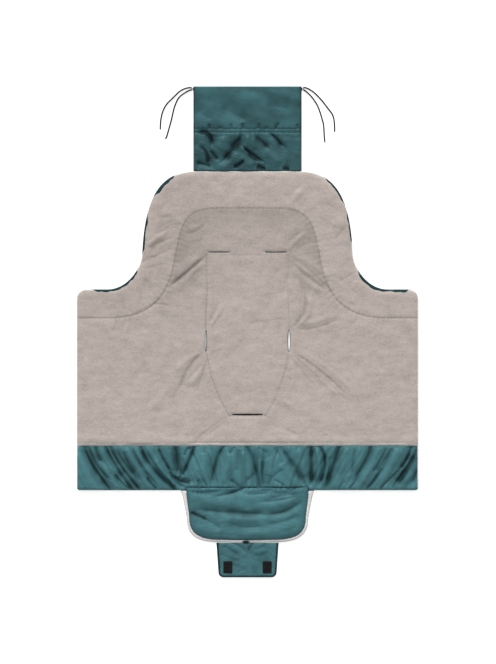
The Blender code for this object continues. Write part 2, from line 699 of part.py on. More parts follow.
def slider_place():
    """Middle of the slider at rest: on the left wing, just above the zip's box."""
    x = -(SPAN / 2 - SLIDER_CENTRE_INSIDE)
    y = EDGE_Y + ZIP_START + BOX_LENGTH + SLIDER_LENGTH / 2 + 2 * GAP
    return x, y


def build_slider(body, materials):
    """Two plates joined by a web, with lips that keep the teeth in, and a bridge for the puller."""
    centre_x, centre_y = slider_place()
    half = SLIDER_WIDTH / 2
    inner_low = COIL_Z - COIL_HEIGHT / 2 - GAP
    inner_high = COIL_Z + COIL_HEIGHT / 2 + GAP
    plate_low, plate_high = inner_low - SLIDER_PLATE, inner_high + SLIDER_PLATE
    bridge_low = plate_low - BRIDGE_EYE - BRIDGE_BAR
    web = SLIDER_WEB / 2
    lip = SLIDER_LIP
    right = [
        (web, inner_low), (half - lip, inner_low), (half - lip, inner_low + lip),
        (half, inner_low + lip), (half, plate_low),
    ]
    upper = [
        (half, plate_high), (half, inner_high - lip), (half - lip, inner_high - lip),
        (half - lip, inner_high), (web, inner_high),
    ]
    profile = right[::-1] + upper[::-1]
    profile = profile + [(-x, z) for x, z in reversed(profile)]
    bm = bmesh.new()
    low_y = centre_y - SLIDER_LENGTH / 2
    face = bm.faces.new([bm.verts.new((centre_x + x, low_y, z)) for x, z in profile])
    run = bmesh.ops.extrude_face_region(bm, geom=[face])["geom"]
    for vert in (g for g in run if isinstance(g, bmesh.types.BMVert)):
        vert.co.y += SLIDER_LENGTH
    slider = make_piece("zip_slider", bm, body, materials["metal"])
    plan = rounded_rectangle((centre_x, centre_y), SLIDER_WIDTH, SLIDER_LENGTH, SLIDER_WIDTH / 3)
    plan = offset_outline(plan, GAP / 3)
    use_boolean(slider, prism_cutter("slider_plan", [plan], -OVERRUN, OVERRUN), "INTERSECT")
    throat = rectangle(
        (centre_x - 2 * SLIDER_WEB, low_y - OVERRUN), (centre_x + 2 * SLIDER_WEB, centre_y)
    )
    use_boolean(slider, prism_cutter("slider_throat", [throat], inner_low, inner_high))
    arch = bmesh.new()
    foot_y = SLIDER_LENGTH / 3
    arch_points = [
        (-foot_y - BRIDGE_BAR, plate_low + SLIDER_PLATE / 2), (-foot_y - BRIDGE_BAR, bridge_low),
        (foot_y + BRIDGE_BAR, bridge_low), (foot_y + BRIDGE_BAR, plate_low + SLIDER_PLATE / 2),
        (foot_y, plate_low + SLIDER_PLATE / 2), (foot_y, bridge_low + BRIDGE_BAR),
        (-foot_y, bridge_low + BRIDGE_BAR), (-foot_y, plate_low + SLIDER_PLATE / 2),
    ]
    start_x = centre_x - BRIDGE_WIDTH / 2
    face = arch.faces.new([arch.verts.new((start_x, centre_y + y, z)) for y, z in arch_points])
    run = bmesh.ops.extrude_face_region(arch, geom=[face])["geom"]
    for vert in (g for g in run if isinstance(g, bmesh.types.BMVert)):
        vert.co.x += BRIDGE_WIDTH
    use_boolean(slider, make_cutter("slider_bridge", arch), "UNION")


def puller_axis():
    x, y = slider_place()
    return x, y, COIL_Z - COIL_HEIGHT / 2 - GAP - SLIDER_PLATE - BRIDGE_EYE / 2


def build_puller(body, materials):
    """A plate with a window, whose first bar turns in the slider's bridge."""
    x, y, z = puller_axis()
    low, high = z - PULLER_THICKNESS / 2, z + PULLER_THICKNESS / 2
    centre = (x, y + PULLER_LENGTH / 2 - PULLER_THICKNESS / 2)
    outline = rounded_rectangle(centre, PULLER_WIDTH, PULLER_LENGTH, PULLER_WIDTH / 6, 2)
    bm = bmesh.new()
    shape_prism(bm, outline, low, high)
    puller = make_piece("zip_puller", bm, body, materials["metal"])
    start = y + PULLER_THICKNESS / 2
    half = PULLER_WIDTH / 2 - PULLER_RAIL
    window = rectangle((x - half, start), (x + half, start + PULLER_WINDOW))
    use_boolean(puller, prism_cutter("puller_window", [window], -OVERRUN, OVERRUN))


# Foot flap and closure tab


def flap_half(inset=0.0):
    """Right half of the flap, from its top edge to the middle of its lower edge."""
    top, wide = EDGE_Y - GAP / 2, FLAP_WIDTH / 2 - inset
    narrow = FLAP_WIDTH / 2 * FLAP_NARROW_SHARE - inset
    turn_y = EDGE_Y - FLAP_LENGTH * FLAP_SHOULDER_SHARE
    low = (FLAP_WIDTH * FLAP_FLAT_SHARE - inset, FLAP_END_Y + inset + GAP / 2)
    return [(wide, top)] + curve_between((narrow, turn_y), low, FLAP_TURN_SHARES, 9)


def flap_height(x, y):
    share = bump(x, -FLAP_WIDTH / 2, FLAP_WIDTH / 2)
    rows = math.cos(2 * math.pi * (y - EDGE_Y) / (FLAP_LENGTH / 3) + 3 * x / FLAP_WIDTH)
    return FLAP_LOFT - FLAP_FOLD + FLAP_FOLD * share * rows


def build_flap(body, materials):
    backing = bmesh.new()
    shape_prism(backing, both_sides(flap_half()), 0, FLAP_BACKING, FLAP_BACKING / 2)
    make_piece("flap_backing", backing, body, materials["fleece_edge"])
    inner_low = FLAP_BACKING + GAP
    wadding_half = [(x, min(y, EDGE_Y - RIM_WIDTH)) for x, y in flap_half(FLAP_RIM + RIM_WIDTH / 2)]
    room = both_sides(wadding_half)
    wadding = bmesh.new()
    shape_prism(wadding, room, inner_low, inner_low + FLAP_WADDING)
    make_piece("flap_wadding", wadding, body, materials["wadding"])
    shell = bmesh.new()
    shell_outline = both_sides(flap_half(FLAP_RIM))
    shape_prism(shell, shell_outline, inner_low, FLAP_LOFT - FLAP_FOLD, SEAM_ROUND, OVERRUN / 4)
    shell = make_piece("flap_shell", shell, body, materials["nylon"])
    low, high = (-FLAP_WIDTH / 2, FLAP_END_Y - GAP), (FLAP_WIDTH / 2, EDGE_Y + GAP)
    use_boolean(shell, slab_cutter("flap_shell_trim", low, high, FLAP_CELL, flap_height), "INTERSECT")
    cutter = prism_cutter(
        "flap_wadding_room", [offset_outline(room, -GAP)], -OVERRUN, inner_low + FLAP_WADDING + GAP
    )
    use_boolean(shell, cutter)


def tab_half(inset=0.0):
    top = FLAP_END_Y - GAP / 2
    wide = TAB_WIDTH / 2 - inset
    narrow = wide - TAB_TAPER
    corner = TAB_CORNER - inset
    centre = (narrow - corner, TAB_END_Y + inset + corner)
    return [(wide, top)] + corner_arc(centre, corner, 0, -90)


def build_tab(body, materials):
    panel = bmesh.new()
    panel_outline = both_sides(tab_half(TAB_BINDING + GAP))
    shape_prism(panel, panel_outline, 0, TAB_THICKNESS, TAB_THICKNESS / 3)
    make_piece("tab_panel", panel, body, materials["nylon"])
    outer, inner = tab_half(), tab_half(TAB_BINDING)
    outer_whole = outer + [(-x, y) for x, y in reversed(outer)]
    inner_whole = inner + [(-x, y) for x, y in reversed(inner)]
    binding = bmesh.new()
    outline = outer_whole + inner_whole[::-1]
    shape_prism(binding, outline, 0, TAB_THICKNESS + TAB_BINDING_PROUD, TAB_BINDING / 4)
    make_piece("tab_binding", binding, body, materials["nylon_dark"])
    for side, name in ((-1, "left"), (1, "right")):
        patch = bmesh.new()
        centre = (side * HOOK_X, FLAP_END_Y - HOOK_DROP)
        outline = rounded_rectangle(centre, HOOK_WIDTH, HOOK_LENGTH, PATCH_CORNER, 3)
        low = TAB_THICKNESS + GAP
        shape_prism(patch, outline, low, low + HOOK_THICKNESS)
        make_piece(f"hook_patch_{name}", patch, body, materials["hook"])


# Head panel and ties


def panel_height(x, y):
    """Slack cloth: two long folds cross the lower part, shallow ripples the rest."""
    across = x / HEAD_WIDTH
    along = (y - HOOD_TOP_Y) / HEAD_LENGTH
    ripple = math.sin(2 * math.pi * (2.5 * across + 1.5 * along)) * math.sin(math.pi * along)
    fold = math.cos(2 * math.pi * (3 * along - across))
    share = max(0.0, 1 - 2 * along)
    return PANEL_THICKNESS - HEAD_FOLD + HEAD_FOLD / 2 * (ripple + share * fold)


def root_outline(side, grow=0.0):
    inner = side * (HEAD_WIDTH / 2 - TIE_ROOT)
    outer = side * (HEAD_WIDTH / 2 + OVERRUN)
    low = HEAD_TOP_Y - TIE_DROP - TIE_PITCH / 2 - TIE_DIAMETER / 2 - grow
    high = HEAD_TOP_Y - TIE_DROP + TIE_PITCH / 2 + TIE_DIAMETER / 2 + grow
    xs = sorted((inner - side * grow, outer))
    return rectangle((xs[0], low), (xs[1], high))


def build_head(body, materials):
    half = HEAD_WIDTH / 2
    low = HOOD_TOP_Y + GAP / 2
    facing_low = HEAD_TOP_Y - FACING_LENGTH
    inside = half - HEAD_HEM - GAP
    roots = prism_cutter(
        "tie_root_rooms",
        [root_outline(-1, GAP), root_outline(1, GAP)],
        TIE_Z - TIE_DIAMETER / 2 - GAP,
        TIE_Z + TIE_DIAMETER / 2 + GAP,
    )
    facing = bmesh.new()
    shape_prism(facing, rectangle((-inside, facing_low), (inside, HEAD_TOP_Y)), 0, FACING_THICKNESS)
    use_boolean(make_piece("head_facing", facing, body, materials["nylon"]), roots)
    panel = bmesh.new()
    outline = rectangle((-inside, low), (inside, HEAD_TOP_Y))
    shape_prism(panel, outline, 0, PANEL_THICKNESS + HEAD_FOLD)
    panel = make_piece("head_panel", panel, body, materials["nylon"])
    corner_low, corner_high = (-half, HOOD_TOP_Y - GAP), (half, HEAD_TOP_Y + GAP)
    slab = slab_cutter("head_panel_trim", corner_low, corner_high, HEAD_CELL, panel_height)
    use_boolean(panel, slab, "INTERSECT")
    room = rectangle((-half, facing_low - GAP), (half, HEAD_TOP_Y + OVERRUN))
    use_boolean(panel, prism_cutter("facing_room", [room], -OVERRUN, FACING_THICKNESS + GAP))
    use_boolean(panel, roots)
    for side, name in ((-1, "left"), (1, "right")):
        xs = sorted((side * (half - HEAD_HEM), side * half))
        hem = bmesh.new()
        outline = rectangle((xs[0], low), (xs[1], HEAD_TOP_Y))
        shape_prism(hem, outline, 0, HEAD_HEM_THICKNESS, HEAD_HEM / 4)
        use_boolean(make_piece(f"head_hem_{name}", hem, body, materials["nylon_dark"]), roots)
        build_tie_root(side, name, body, materials)


def tube_object(name, points, diameter, body, material):
    curve = bpy.data.curves.new(name, "CURVE")
    curve.dimensions = "3D"
    curve.bevel_depth = diameter / 2
    curve.bevel_resolution = 2
    curve.use_fill_caps = True
    spline = curve.splines.new("POLY")
    spline.points.add(len(points) - 1)
    for point, place in zip(spline.points, points):
        point.co = (*(Vector(place) - body.location), 1)
    curve.materials.append(material)
    obj = bpy.data.objects.new(name, curve)
    bpy.context.scene.collection.objects.link(obj)
    obj.parent = body
    return obj


def build_tie_root(side, name, body, materials):
    """The tie's doubled end: in at the edge, round, and out again beside itself."""
    middle = HEAD_TOP_Y - TIE_DROP
    turn = TIE_PITCH / 2
    outer = HEAD_WIDTH / 2 + TIE_DIAMETER
    inner = HEAD_WIDTH / 2 - TIE_ROOT + TIE_DIAMETER / 2 + turn
    bend = corner_arc((inner, 0), turn, 90, 270, 6)
    points = [(outer, turn)] + bend + [(outer, -turn)]
    places = [(side * x, middle + y, TIE_Z) for x, y in points]
    tube_object(f"tie_root_{name}", places, TIE_DIAMETER, body, materials["cord"])


def smooth_route(route, step):
    """Points a step apart on a smooth curve through the route's own points."""
    dense = []
    points = [Vector(p) for p in route]
    points = [2 * points[0] - points[1]] + points + [2 * points[-1] - points[-2]]
    for a, b, c, d in zip(points, points[1:], points[2:], points[3:]):
        for i in range(12):
            t = i / 12
            square, cube = 2 * a - 5 * b + 4 * c - d, 3 * b - a - 3 * c + d
            dense.append(0.5 * (2 * b + (c - a) * t + square * t**2 + cube * t**3))
    dense.append(points[-2])
    lengths = [0.0]
    for first, second in zip(dense, dense[1:]):
        lengths.append(lengths[-1] + (second - first).length)
    count = max(2, round(lengths[-1] / step))
    spaced = []
    index = 0
    for i in range(count + 1):
        want = lengths[-1] * i / count
        while index < len(lengths) - 2 and lengths[index + 1] < want:
            index += 1
        share = (want - lengths[index]) / (lengths[index + 1] - lengths[index])
        spaced.append(dense[index].lerp(dense[index + 1], min(1.0, share)))
    return spaced


def build_tails(body, materials):
    for name, route in TAIL_ROUTES.items():
        points = smooth_route(route, TAIL_STEP)
        tube_object(name, points, TIE_DIAMETER, body, materials["cord"])


def make_bodies():
    """An empty for each body, on its joint's axis, hung from its parent; the back is at the origin."""
    slider_x, slider_y = slider_place()
    places = (
        ("back", None, (0, 0, 0)),
        ("left_wing", "back", (-FOLD_X, EDGE_Y, FOLD_Z)),
        ("right_wing", "back", (FOLD_X, EDGE_Y, FOLD_Z)),
        ("flap", "back", (0, EDGE_Y, FOLD_Z)),
        ("tab", "flap", (0, FLAP_END_Y, TAB_FOLD_Z)),
        ("head", "back", (0, HOOD_TOP_Y, 0)),
        ("slider", "left_wing", (slider_x, slider_y, COIL_Z)),
        ("puller", "slider", puller_axis()),
    )
    bodies = {}
    for name, parent, place in places:
        empty = bpy.data.objects.new(f"{name}_body", None)
        bpy.context.scene.collection.objects.link(empty)
        empty.location = place
        if parent:
            empty.parent = bodies[parent]
            empty.matrix_parent_inverse = Matrix.Translation(-bodies[parent].location)
        bodies[name] = empty
    return bodies


def main():
    clear_scene()
    materials = {
        "nylon": make_material("nylon", (0.052, 0.150, 0.170), 0.42),
        "nylon_dark": make_material("nylon_dark", (0.020, 0.062, 0.072), 0.45),
        "fleece": make_material("fleece", (0.462, 0.408, 0.371), 0.95),
        "fleece_edge": make_material("fleece_edge", (0.545, 0.520, 0.490), 0.95),
        "wadding": make_material("wadding", (0.80, 0.80, 0.78), 0.95),
        "binding": make_material("binding", (0.170, 0.180, 0.190), 0.80),
        "tape": make_material("tape", (0.045, 0.110, 0.125), 0.80),
        "teeth": make_material("teeth", (0.030, 0.030, 0.032), 0.40),
        "metal": make_material("metal", (0.050, 0.052, 0.055), 0.35, 0.8),
        "loop": make_material("loop", (0.015, 0.015, 0.016), 0.95),
        "hook": make_material("hook", (0.010, 0.010, 0.011), 0.70),
        "cord": make_material("cord", (0.012, 0.012, 0.013), 0.75),
    }
    bodies = make_bodies()
    build_body(bodies, materials)
    build_wing_zip(-1, bodies["left_wing"], materials)
    build_wing_zip(1, bodies["right_wing"], materials)
    build_slider(bodies["slider"], materials)
    build_puller(bodies["puller"], materials)
    build_flap(bodies["flap"], materials)
    build_tab(bodies["tab"], materials)
    build_head(bodies["head"], materials)
    build_tails(bodies["head"], materials)


main()
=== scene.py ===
import math

import bmesh
import bpy
import numpy as np
from mathutils import Matrix, Vector, noise
from mathutils.geometry import delaunay_2d_cdt


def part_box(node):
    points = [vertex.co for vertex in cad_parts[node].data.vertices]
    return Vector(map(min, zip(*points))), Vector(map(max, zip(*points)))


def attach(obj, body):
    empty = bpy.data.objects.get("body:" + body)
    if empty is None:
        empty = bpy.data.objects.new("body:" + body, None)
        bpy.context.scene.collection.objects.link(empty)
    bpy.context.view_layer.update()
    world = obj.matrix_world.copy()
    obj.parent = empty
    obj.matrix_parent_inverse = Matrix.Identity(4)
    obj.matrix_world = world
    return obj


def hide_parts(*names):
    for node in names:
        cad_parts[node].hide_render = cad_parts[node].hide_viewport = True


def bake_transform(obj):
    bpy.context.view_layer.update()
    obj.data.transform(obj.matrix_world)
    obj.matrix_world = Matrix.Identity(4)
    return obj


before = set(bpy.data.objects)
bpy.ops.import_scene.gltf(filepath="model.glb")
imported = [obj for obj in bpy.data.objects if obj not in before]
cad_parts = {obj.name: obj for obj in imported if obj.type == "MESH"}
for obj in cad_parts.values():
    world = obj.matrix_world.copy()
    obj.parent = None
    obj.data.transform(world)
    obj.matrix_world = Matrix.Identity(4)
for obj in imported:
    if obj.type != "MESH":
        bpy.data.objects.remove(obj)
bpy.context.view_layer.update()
print("stage: frame")

# Sizes shared with the CAD, in metres: the head end is at +Y, the floor at Z = 0
span = 0.8892  # across the open wings
foldX = span / 4 + 0.0003  # where each wing folds
edgeY = -0.41275  # lower edge of back and wings
wingTopY = 0.10985
hoodTopY = 0.41795
headTopY = 0.63895
flapEndY = -0.54925
tabEndY = -0.63895
bandTopY = -0.29705  # of the gathered foot band
liningLowY = -0.28985
foldZ = 0.0145  # height of the lines on which wings and flap turn
tabFoldZ = 0.0113
seamZ = 0.0036  # where fleece and shell meet at the rim

# The camera looks straight down, as the photograph does
view = {"pixel": 0.0026, "rows": 664, "sensor": 36, "distance": 6.0, "over": (0.0013, -0.0007), "aim": 0.01}
camera = bpy.data.objects.new("camera", bpy.data.cameras.new("camera"))
bpy.context.scene.collection.objects.link(camera)
camera.data.lens = view["sensor"] * view["distance"] / (view["rows"] * view["pixel"])
camera.location = (*view["over"], view["distance"] + view["aim"])
camera.data.clip_end = 60
bpy.context.scene.camera = camera


# A cubic curve; its two handles lie at shares of the run along X and along Y
def curveBetween(start, end, shares, steps=14):
    run = np.array(end) - np.array(start)
    corners = [np.array(start), *(start + run * np.array(s) for s in shares), np.array(end)]
    t = np.linspace(0, 1, steps + 1)[:, None]
    weights = ((1 - t) ** 3, 3 * (1 - t) ** 2 * t, 3 * (1 - t) * t * t, t**3)
    return sum(w * c for w, c in zip(weights, corners))


def cornerArc(centre, radius, first, last, steps=6):
    turns = np.radians(np.linspace(first, last, steps + 1))
    return np.stack([centre[0] + radius * np.cos(turns), centre[1] + radius * np.sin(turns)], 1)


# A closed outline from its right half, given from top to bottom
def bothSides(half):
    left = half[::-1] * (-1, 1)
    return np.concatenate([half, left[left[:, 0] < -1e-6]])


# A parabola through three points, run past both ends by a share of its length
def threePoints(start, middle, end, past=0.0):
    start, middle, end = (np.array(p) for p in (start, middle, end))
    t = np.linspace(-past, 1 + past, 10)[:, None]
    return start * (1 - t) * (1 - 2 * t) + middle * 4 * t * (1 - t) + end * t * (2 * t - 1)


def lengthOf(path):
    return np.sum(np.linalg.norm(np.diff(path, axis=0), axis=1))


# The path with its points about a step apart
def spaced(path, step, closed=False):
    path = np.array(path, float)
    if closed:
        path = np.concatenate([path, path[:1]])
    lengths = np.concatenate([[0], np.cumsum(np.linalg.norm(np.diff(path, axis=0), axis=1))])
    count = max(2, round(lengths[-1] / step))
    wanted = np.linspace(0, lengths[-1], count + 1)
    if closed:
        wanted = wanted[:-1]
    return np.stack([np.interp(wanted, lengths, path[:, i]) for i in range(path.shape[1])], 1)


# Unit normals of a closed outline, pointing in
def inwards(outline):
    along = np.roll(outline, -1, 0) - np.roll(outline, 1, 0)
    normals = np.stack([-along[:, 1], along[:, 0]], 1)
    normals /= np.linalg.norm(normals, axis=1)[:, None]
    x, y = outline.T
    area = np.sum(np.roll(x, 1) * y - x * np.roll(y, 1))
    return normals * np.sign(area)


# Unit normals of an open path, to the right of its run
def rightOf(path):
    along = np.gradient(path, axis=0)
    return np.stack([along[:, 1], -along[:, 0]], 1) / np.linalg.norm(along, axis=1)[:, None]


def inside(places, outline):
    x, y = places.T
    hit = np.zeros(len(places), bool)
    for (x0, y0), (x1, y1) in zip(outline, np.roll(outline, -1, 0)):
        if y0 != y1:
            crosses = (y0 > y) != (y1 > y)
            hit ^= crosses & (x < (x1 - x0) * (y - y0) / (y1 - y0) + x0)
    return hit


# Distance from each place to a path, and how far along the path its nearest point is
def nearest(places, path, closed=False):
    path = np.array(path, float)
    if closed:
        path = np.concatenate([path, path[:1]])
    best = np.full(len(places), np.inf)
    where = np.zeros(len(places))
    run = 0.0
    for start, end in zip(path, path[1:]):
        line = end - start
        length = np.linalg.norm(line)
        if length == 0:
            continue
        share = np.clip((places - start) @ line / length**2, 0, 1)
        away = np.sum((places - start - share[:, None] * line) ** 2, axis=1)
        closer = away < best
        best[closer] = away[closer]
        where[closer] = run + share[closer] * length
        run += length
    return np.sqrt(best), where


# Smooth noise from -1 to 1 with features of that size
def noiseAt(places, size, seed):
    return np.array([noise.noise((x / size, y / size, seed)) for x, y in places])


# Layers of noise: height, size and seed of each
def swells(places, layers):
    return sum(height * noiseAt(places, size, seed) for height, size, seed in layers)


# The small waves of a gathered seam, from -1 to 1: their pitch, how uneven it is, over what size
# of cloth it varies, and the noise's seed
def puckers(places, along, pitch, uneven, size, seed):
    return np.sin(2 * math.pi * along / pitch + uneven * noiseAt(places, size, seed))


# Long thin creases, 1 in a crease and 0 between, along lines of equal across
def creasesAlong(across, along, width, length, seed):
    drift = noiseAt(np.column_stack([across / width, along / length]), 1.0, seed)
    finer = noiseAt(np.column_stack([across / width * 2.3, along / length * 1.7]), 1.0, seed + 4.0)
    return np.exp(-np.abs(drift) / 0.10) + 0.5 * np.exp(-np.abs(finer) / 0.12)


def smooth(value):
    value = np.clip(value, 0, 1)
    return value * value * (3 - 2 * value)


# Height share near a rim that rolls over: 0 at the edge, 1 inside
def roundRim(distance, width):
    share = 1 - np.clip(distance / width, 0, 1)
    return np.sqrt(np.clip(1 - share * share, 0, 1))


def rolled(height, low, distance, width):
    return low + (height - low) * roundRim(distance, width)


# What a line adds beside it: the most, and how far that reaches; bell keeps nearer to the line
def beside(away, most, reach):
    return most * np.exp(-away / reach)


def bell(away, most, reach):
    return most * np.exp(-((away / reach) ** 2))


# Keeps a height above a level, with a soft turn where it comes near
def keptAbove(height, level, soft):
    return level + np.logaddexp(0, (height - level) / soft) * soft


# A fold's line, width and height. Its row holds X and Y of its start, middle and end,
# its width and its height, all in mm
def foldLine(fold, past=0.0):
    x0, y0, x1, y1, x2, y2, width, height = np.array(fold) / 1000
    return threePoints((x0, y0), (x1, y1), (x2, y2), past=past), width, height


deepFold = -0.0039  # height of the shallowest fold that counts as deep


# How far the cloth swells between deep folds: 0 in one, 1 well away from them all
def puffBetween(places, folds, reach, past=0.0):
    closest = np.full(len(places), np.inf)
    for fold in folds:
        line, width, height = foldLine(fold, past)
        if height < deepFold:
            closest = np.minimum(closest, nearest(places, line)[0])
    return 1 - np.exp(-closest / reach)


# Which places are near a fold's line, how far off they are, and how it fades towards its ends
def nearFold(places, line, margin, fade):
    near = np.all((places > line.min(0) - margin) & (places < line.max(0) + margin), axis=1)
    away, where = nearest(places[near], line)
    length = lengthOf(line)
    return near, away, smooth(np.minimum(where, length - where) / (fade * length))


# What the listed folds add at each place
def foldHeight(places, folds, past=0.0, fade=0.26):
    total = np.zeros(len(places))
    for fold in folds:
        line, width, height = foldLine(fold, past)
        near, away, ends = nearFold(places, line, 4 * width, fade)
        power = 2.0 if height > 0 else 1.3
        total[near] += height * ends * np.exp(-((away / width) ** power))  # valleys are narrower
    return total


foldLook = {
    "vary": 0.80,  # how uneven a crease's width is
    "patch": 0.026,
    "least": 0.45,
    "most": 1.6,
    "crisp": (0.60, 0.58),  # share, and reach as a share of the fold's width
    "wide": (0.50, 2.2),
}


# How far the valleys among the folds shut out light: a crisp line and a soft dip beside it
def foldShade(places, folds, past=0.0, fade=0.26, full=5.5, widest=20):
    crisp = np.zeros(len(places))
    wide = np.zeros(len(places))
    varied = 1 + foldLook["vary"] * noiseAt(places, foldLook["patch"], 33.0)
    varied = np.clip(varied, foldLook["least"], foldLook["most"])
    for fold in folds:
        line, width, height = foldLine(fold, past)
        if height < 0 and width <= widest / 1000:
            near, away, ends = nearFold(places, line, 8 * width, fade)
            share = min(1.0, -1000 * height / full) ** 1.5 * ends * varied[near] ** 0.6
            reach = width * varied[near]
            crisp[near] = np.maximum(crisp[near], bell(away, share, foldLook["crisp"][1] * reach))
            wide[near] = np.maximum(wide[near], beside(away, share, foldLook["wide"][1] * reach))
    return foldLook["crisp"][0] * crisp + foldLook["wide"][0] * wide


# A material with its Principled shader set
def newMaterial(name, colour, roughness, metallic=0.0, sheen=0.0, specular=0.5, tint=(1, 1, 1)):
    material = bpy.data.materials.new(name)
    material.use_nodes = True
    shader = material.node_tree.nodes["Principled BSDF"]
    shader.inputs["Base Color"].default_value = (*colour, 1)
    shader.inputs["Roughness"].default_value = roughness
    shader.inputs["Metallic"].default_value = metallic
    shader.inputs["Specular IOR Level"].default_value = specular
    shader.inputs["Specular Tint"].default_value = (*tint, 1)
    shader.inputs["Sheen Weight"].default_value = sheen
    shader.inputs["Sheen Roughness"].default_value = 0.45
    material.diffuse_color = (*colour, 1)
    return material, shader


def addNode(material, kind, **values):
    node = material.node_tree.nodes.new(kind)
    for name, value in values.items():
        if name in node.inputs:
            node.inputs[name].default_value = value
        else:
            setattr(node, name, value)
    return node


def link(material, source, target):
    material.node_tree.links.new(source, target)


# A texture over the piece's own coordinates, stretched along an axis and turned
def placedTexture(material, kind, stretch, turn, **values):
    coordinates = addNode(material, "ShaderNodeTexCoord")
    mapping = addNode(material, "ShaderNodeMapping", Scale=stretch, Rotation=(0, 0, turn))
    texture = addNode(material, kind, **values)
    link(material, coordinates.outputs["Object"], mapping.inputs["Vector"])
    link(material, mapping.outputs["Vector"], texture.inputs["Vector"])
    return texture.outputs["Fac"]


def stretchedNoise(material, stretch, scale, detail=2.0, turn=0.0):
    values = {"Scale": scale, "Detail": detail, "Roughness": 0.55}
    return placedTexture(material, "ShaderNodeTexNoise", stretch, turn, **values)


def evenNoise(material, scale, detail):
    return stretchedNoise(material, (1, 1, 1), scale, detail)


# Fine parallel ridges, as the threads of a cloth; a wave texture repeats every 0.314 / scale
def threads(material, turn, pitch):
    values = {"Scale": 0.314 / pitch, "Distortion": 0.6, "Detail": 1.0}
    return placedTexture(material, "ShaderNodeTexWave", (1, 1, 1), turn, **values)


def mixed(material, first, second, share=0.5):
    node = addNode(material, "ShaderNodeMix", data_type="FLOAT")
    node.inputs["Factor"].default_value = share
    link(material, first, node.inputs["A"])
    link(material, second, node.inputs["B"])
    return node.outputs["Result"]


# A colour that a noise makes darker and brighter: (place, how bright) for each stop
def colourRamp(material, source, colour, stops):
    ramp = addNode(material, "ShaderNodeValToRGB")
    elements = ramp.color_ramp.elements
    while len(elements) < len(stops):
        elements.new(0.5)
    for element, (place, bright) in zip(elements, stops):
        element.position = place
        element.color = (*(c * bright for c in colour), 1)
    link(material, source, ramp.inputs["Fac"])
    return ramp.outputs["Color"]


# Adds relief on top of any bump that the shader already has
def addBump(material, shader, source, distance, strength=1.0):
    bump = addNode(material, "ShaderNodeBump", Distance=distance, Strength=strength)
    link(material, source, bump.inputs["Height"])
    before = shader.inputs["Normal"].links
    if before:
        link(material, before[0].from_socket, bump.inputs["Normal"])
    link(material, bump.outputs["Normal"], shader.inputs["Normal"])


# Painted shade: darkens a colour by the attribute that holds how far the piece's folds, seams and hollows lie
# in shade
def darkenedByPaintedShade(material, colourOutput, darkest):
    depth = addNode(material, "ShaderNodeAttribute", attribute_name="painted_shade")
    fade = addNode(material, "ShaderNodeMapRange")
    fade.inputs["To Min"].default_value = 1.0
    fade.inputs["To Max"].default_value = darkest
    product = addNode(material, "ShaderNodeMix", data_type="RGBA", blend_type="MULTIPLY")
    product.inputs["Factor"].default_value = 1.0
    link(material, depth.outputs["Fac"], fade.inputs["Value"])
    link(material, colourOutput, product.inputs["A"])
    link(material, fade.outputs["Result"], product.inputs["B"])
    return product.outputs["Result"]


# Short brushed pile: a soft mottle, a faint grain across, and a fine nap
def makeFleece(name, colour):
    material, shader = newMaterial(name, colour, 0.96, sheen=0.30, specular=0.15)
    broad = stretchedNoise(material, (1, 2.4, 1), 34, 3)
    fine = stretchedNoise(material, (1, 3, 1), 260, 4)
    stops = ((0.32, 0.72), (0.51, 1.0), (0.70, 1.21))
    mottle = colourRamp(material, mixed(material, broad, fine, 0.66), colour, stops)
    # Painted shade: the colour is darkened, down to 0.62 of itself, where the cloth's folds and seams lie in
    # shade
    link(material, darkenedByPaintedShade(material, mottle, 0.62), shader.inputs["Base Color"])
    addBump(material, shader, stretchedNoise(material, (1, 3, 1), 160, 3), 0.0016, 0.45)
    addBump(material, shader, stretchedNoise(material, (1, 1.6, 1), 850, 4), 0.0008, 0.7)
    return material


# Coated woven nylon: a satin gloss, fine threads and the small creases of thin cloth
def makeNylon(name, colour, roughness=0.54, specular=0.44):
    material, shader = newMaterial(name, colour, roughness, specular=specular, tint=(0.50, 0.90, 1.0))
    cloud = colourRamp(material, evenNoise(material, 26, 3), colour, ((0.30, 0.84), (0.70, 1.14)))
    # Painted shade: the colour is darkened, down to 0.08 of itself, where the cloth's folds and seams lie in
    # shade
    link(material, darkenedByPaintedShade(material, cloud, 0.08), shader.inputs["Base Color"])
    pitch = 0.0005
    weave = mixed(material, threads(material, 0, pitch), threads(material, math.pi / 2, pitch))
    across = stretchedNoise(material, (1, 2.6, 1), 42, 2, 0.5)
    along = stretchedNoise(material, (2.4, 1, 1), 60, 2, 0.3)
    addBump(material, shader, mixed(material, across, along), 0.0030, 0.30)
    addBump(material, shader, weave, 0.00008, 0.6)
    return material


# Woven tape with ribs across and threads along
def makeTape(name, colour, pitch):
    material, shader = newMaterial(name, colour, 0.85, sheen=0.12, specular=0.25)
    ribs = mixed(material, threads(material, 0, pitch), threads(material, math.pi / 2, pitch * 0.7))
    cloth = colourRamp(material, ribs, colour, ((0.25, 0.75), (0.75, 1.2)))
    link(material, cloth, shader.inputs["Base Color"])
    addBump(material, shader, ribs, 0.0002, 0.8)
    return material


# The loops or hooks of a touch fastener
def makePile(name, colour, size, depth):
    material, shader = newMaterial(name, colour, 0.9, sheen=0.15, specular=0.2)
    pile = evenNoise(material, 1 / size, 4)
    cloth = colourRamp(material, pile, colour, ((0.35, 0.5), (0.7, 1.9)))
    link(material, cloth, shader.inputs["Base Color"])
    addBump(material, shader, pile, depth)
    return material


# Enamelled die-cast metal, worn a little brighter where it is rubbed
def makeMetal(name, colour):
    material, shader = newMaterial(name, colour, 0.34, metallic=0.85)
    worn = colourRamp(material, evenNoise(material, 420, 3), colour, ((0.45, 1.0), (0.75, 2.2)))
    link(material, worn, shader.inputs["Base Color"])
    addBump(material, shader, evenNoise(material, 900, 2), 0.00006)
    return material


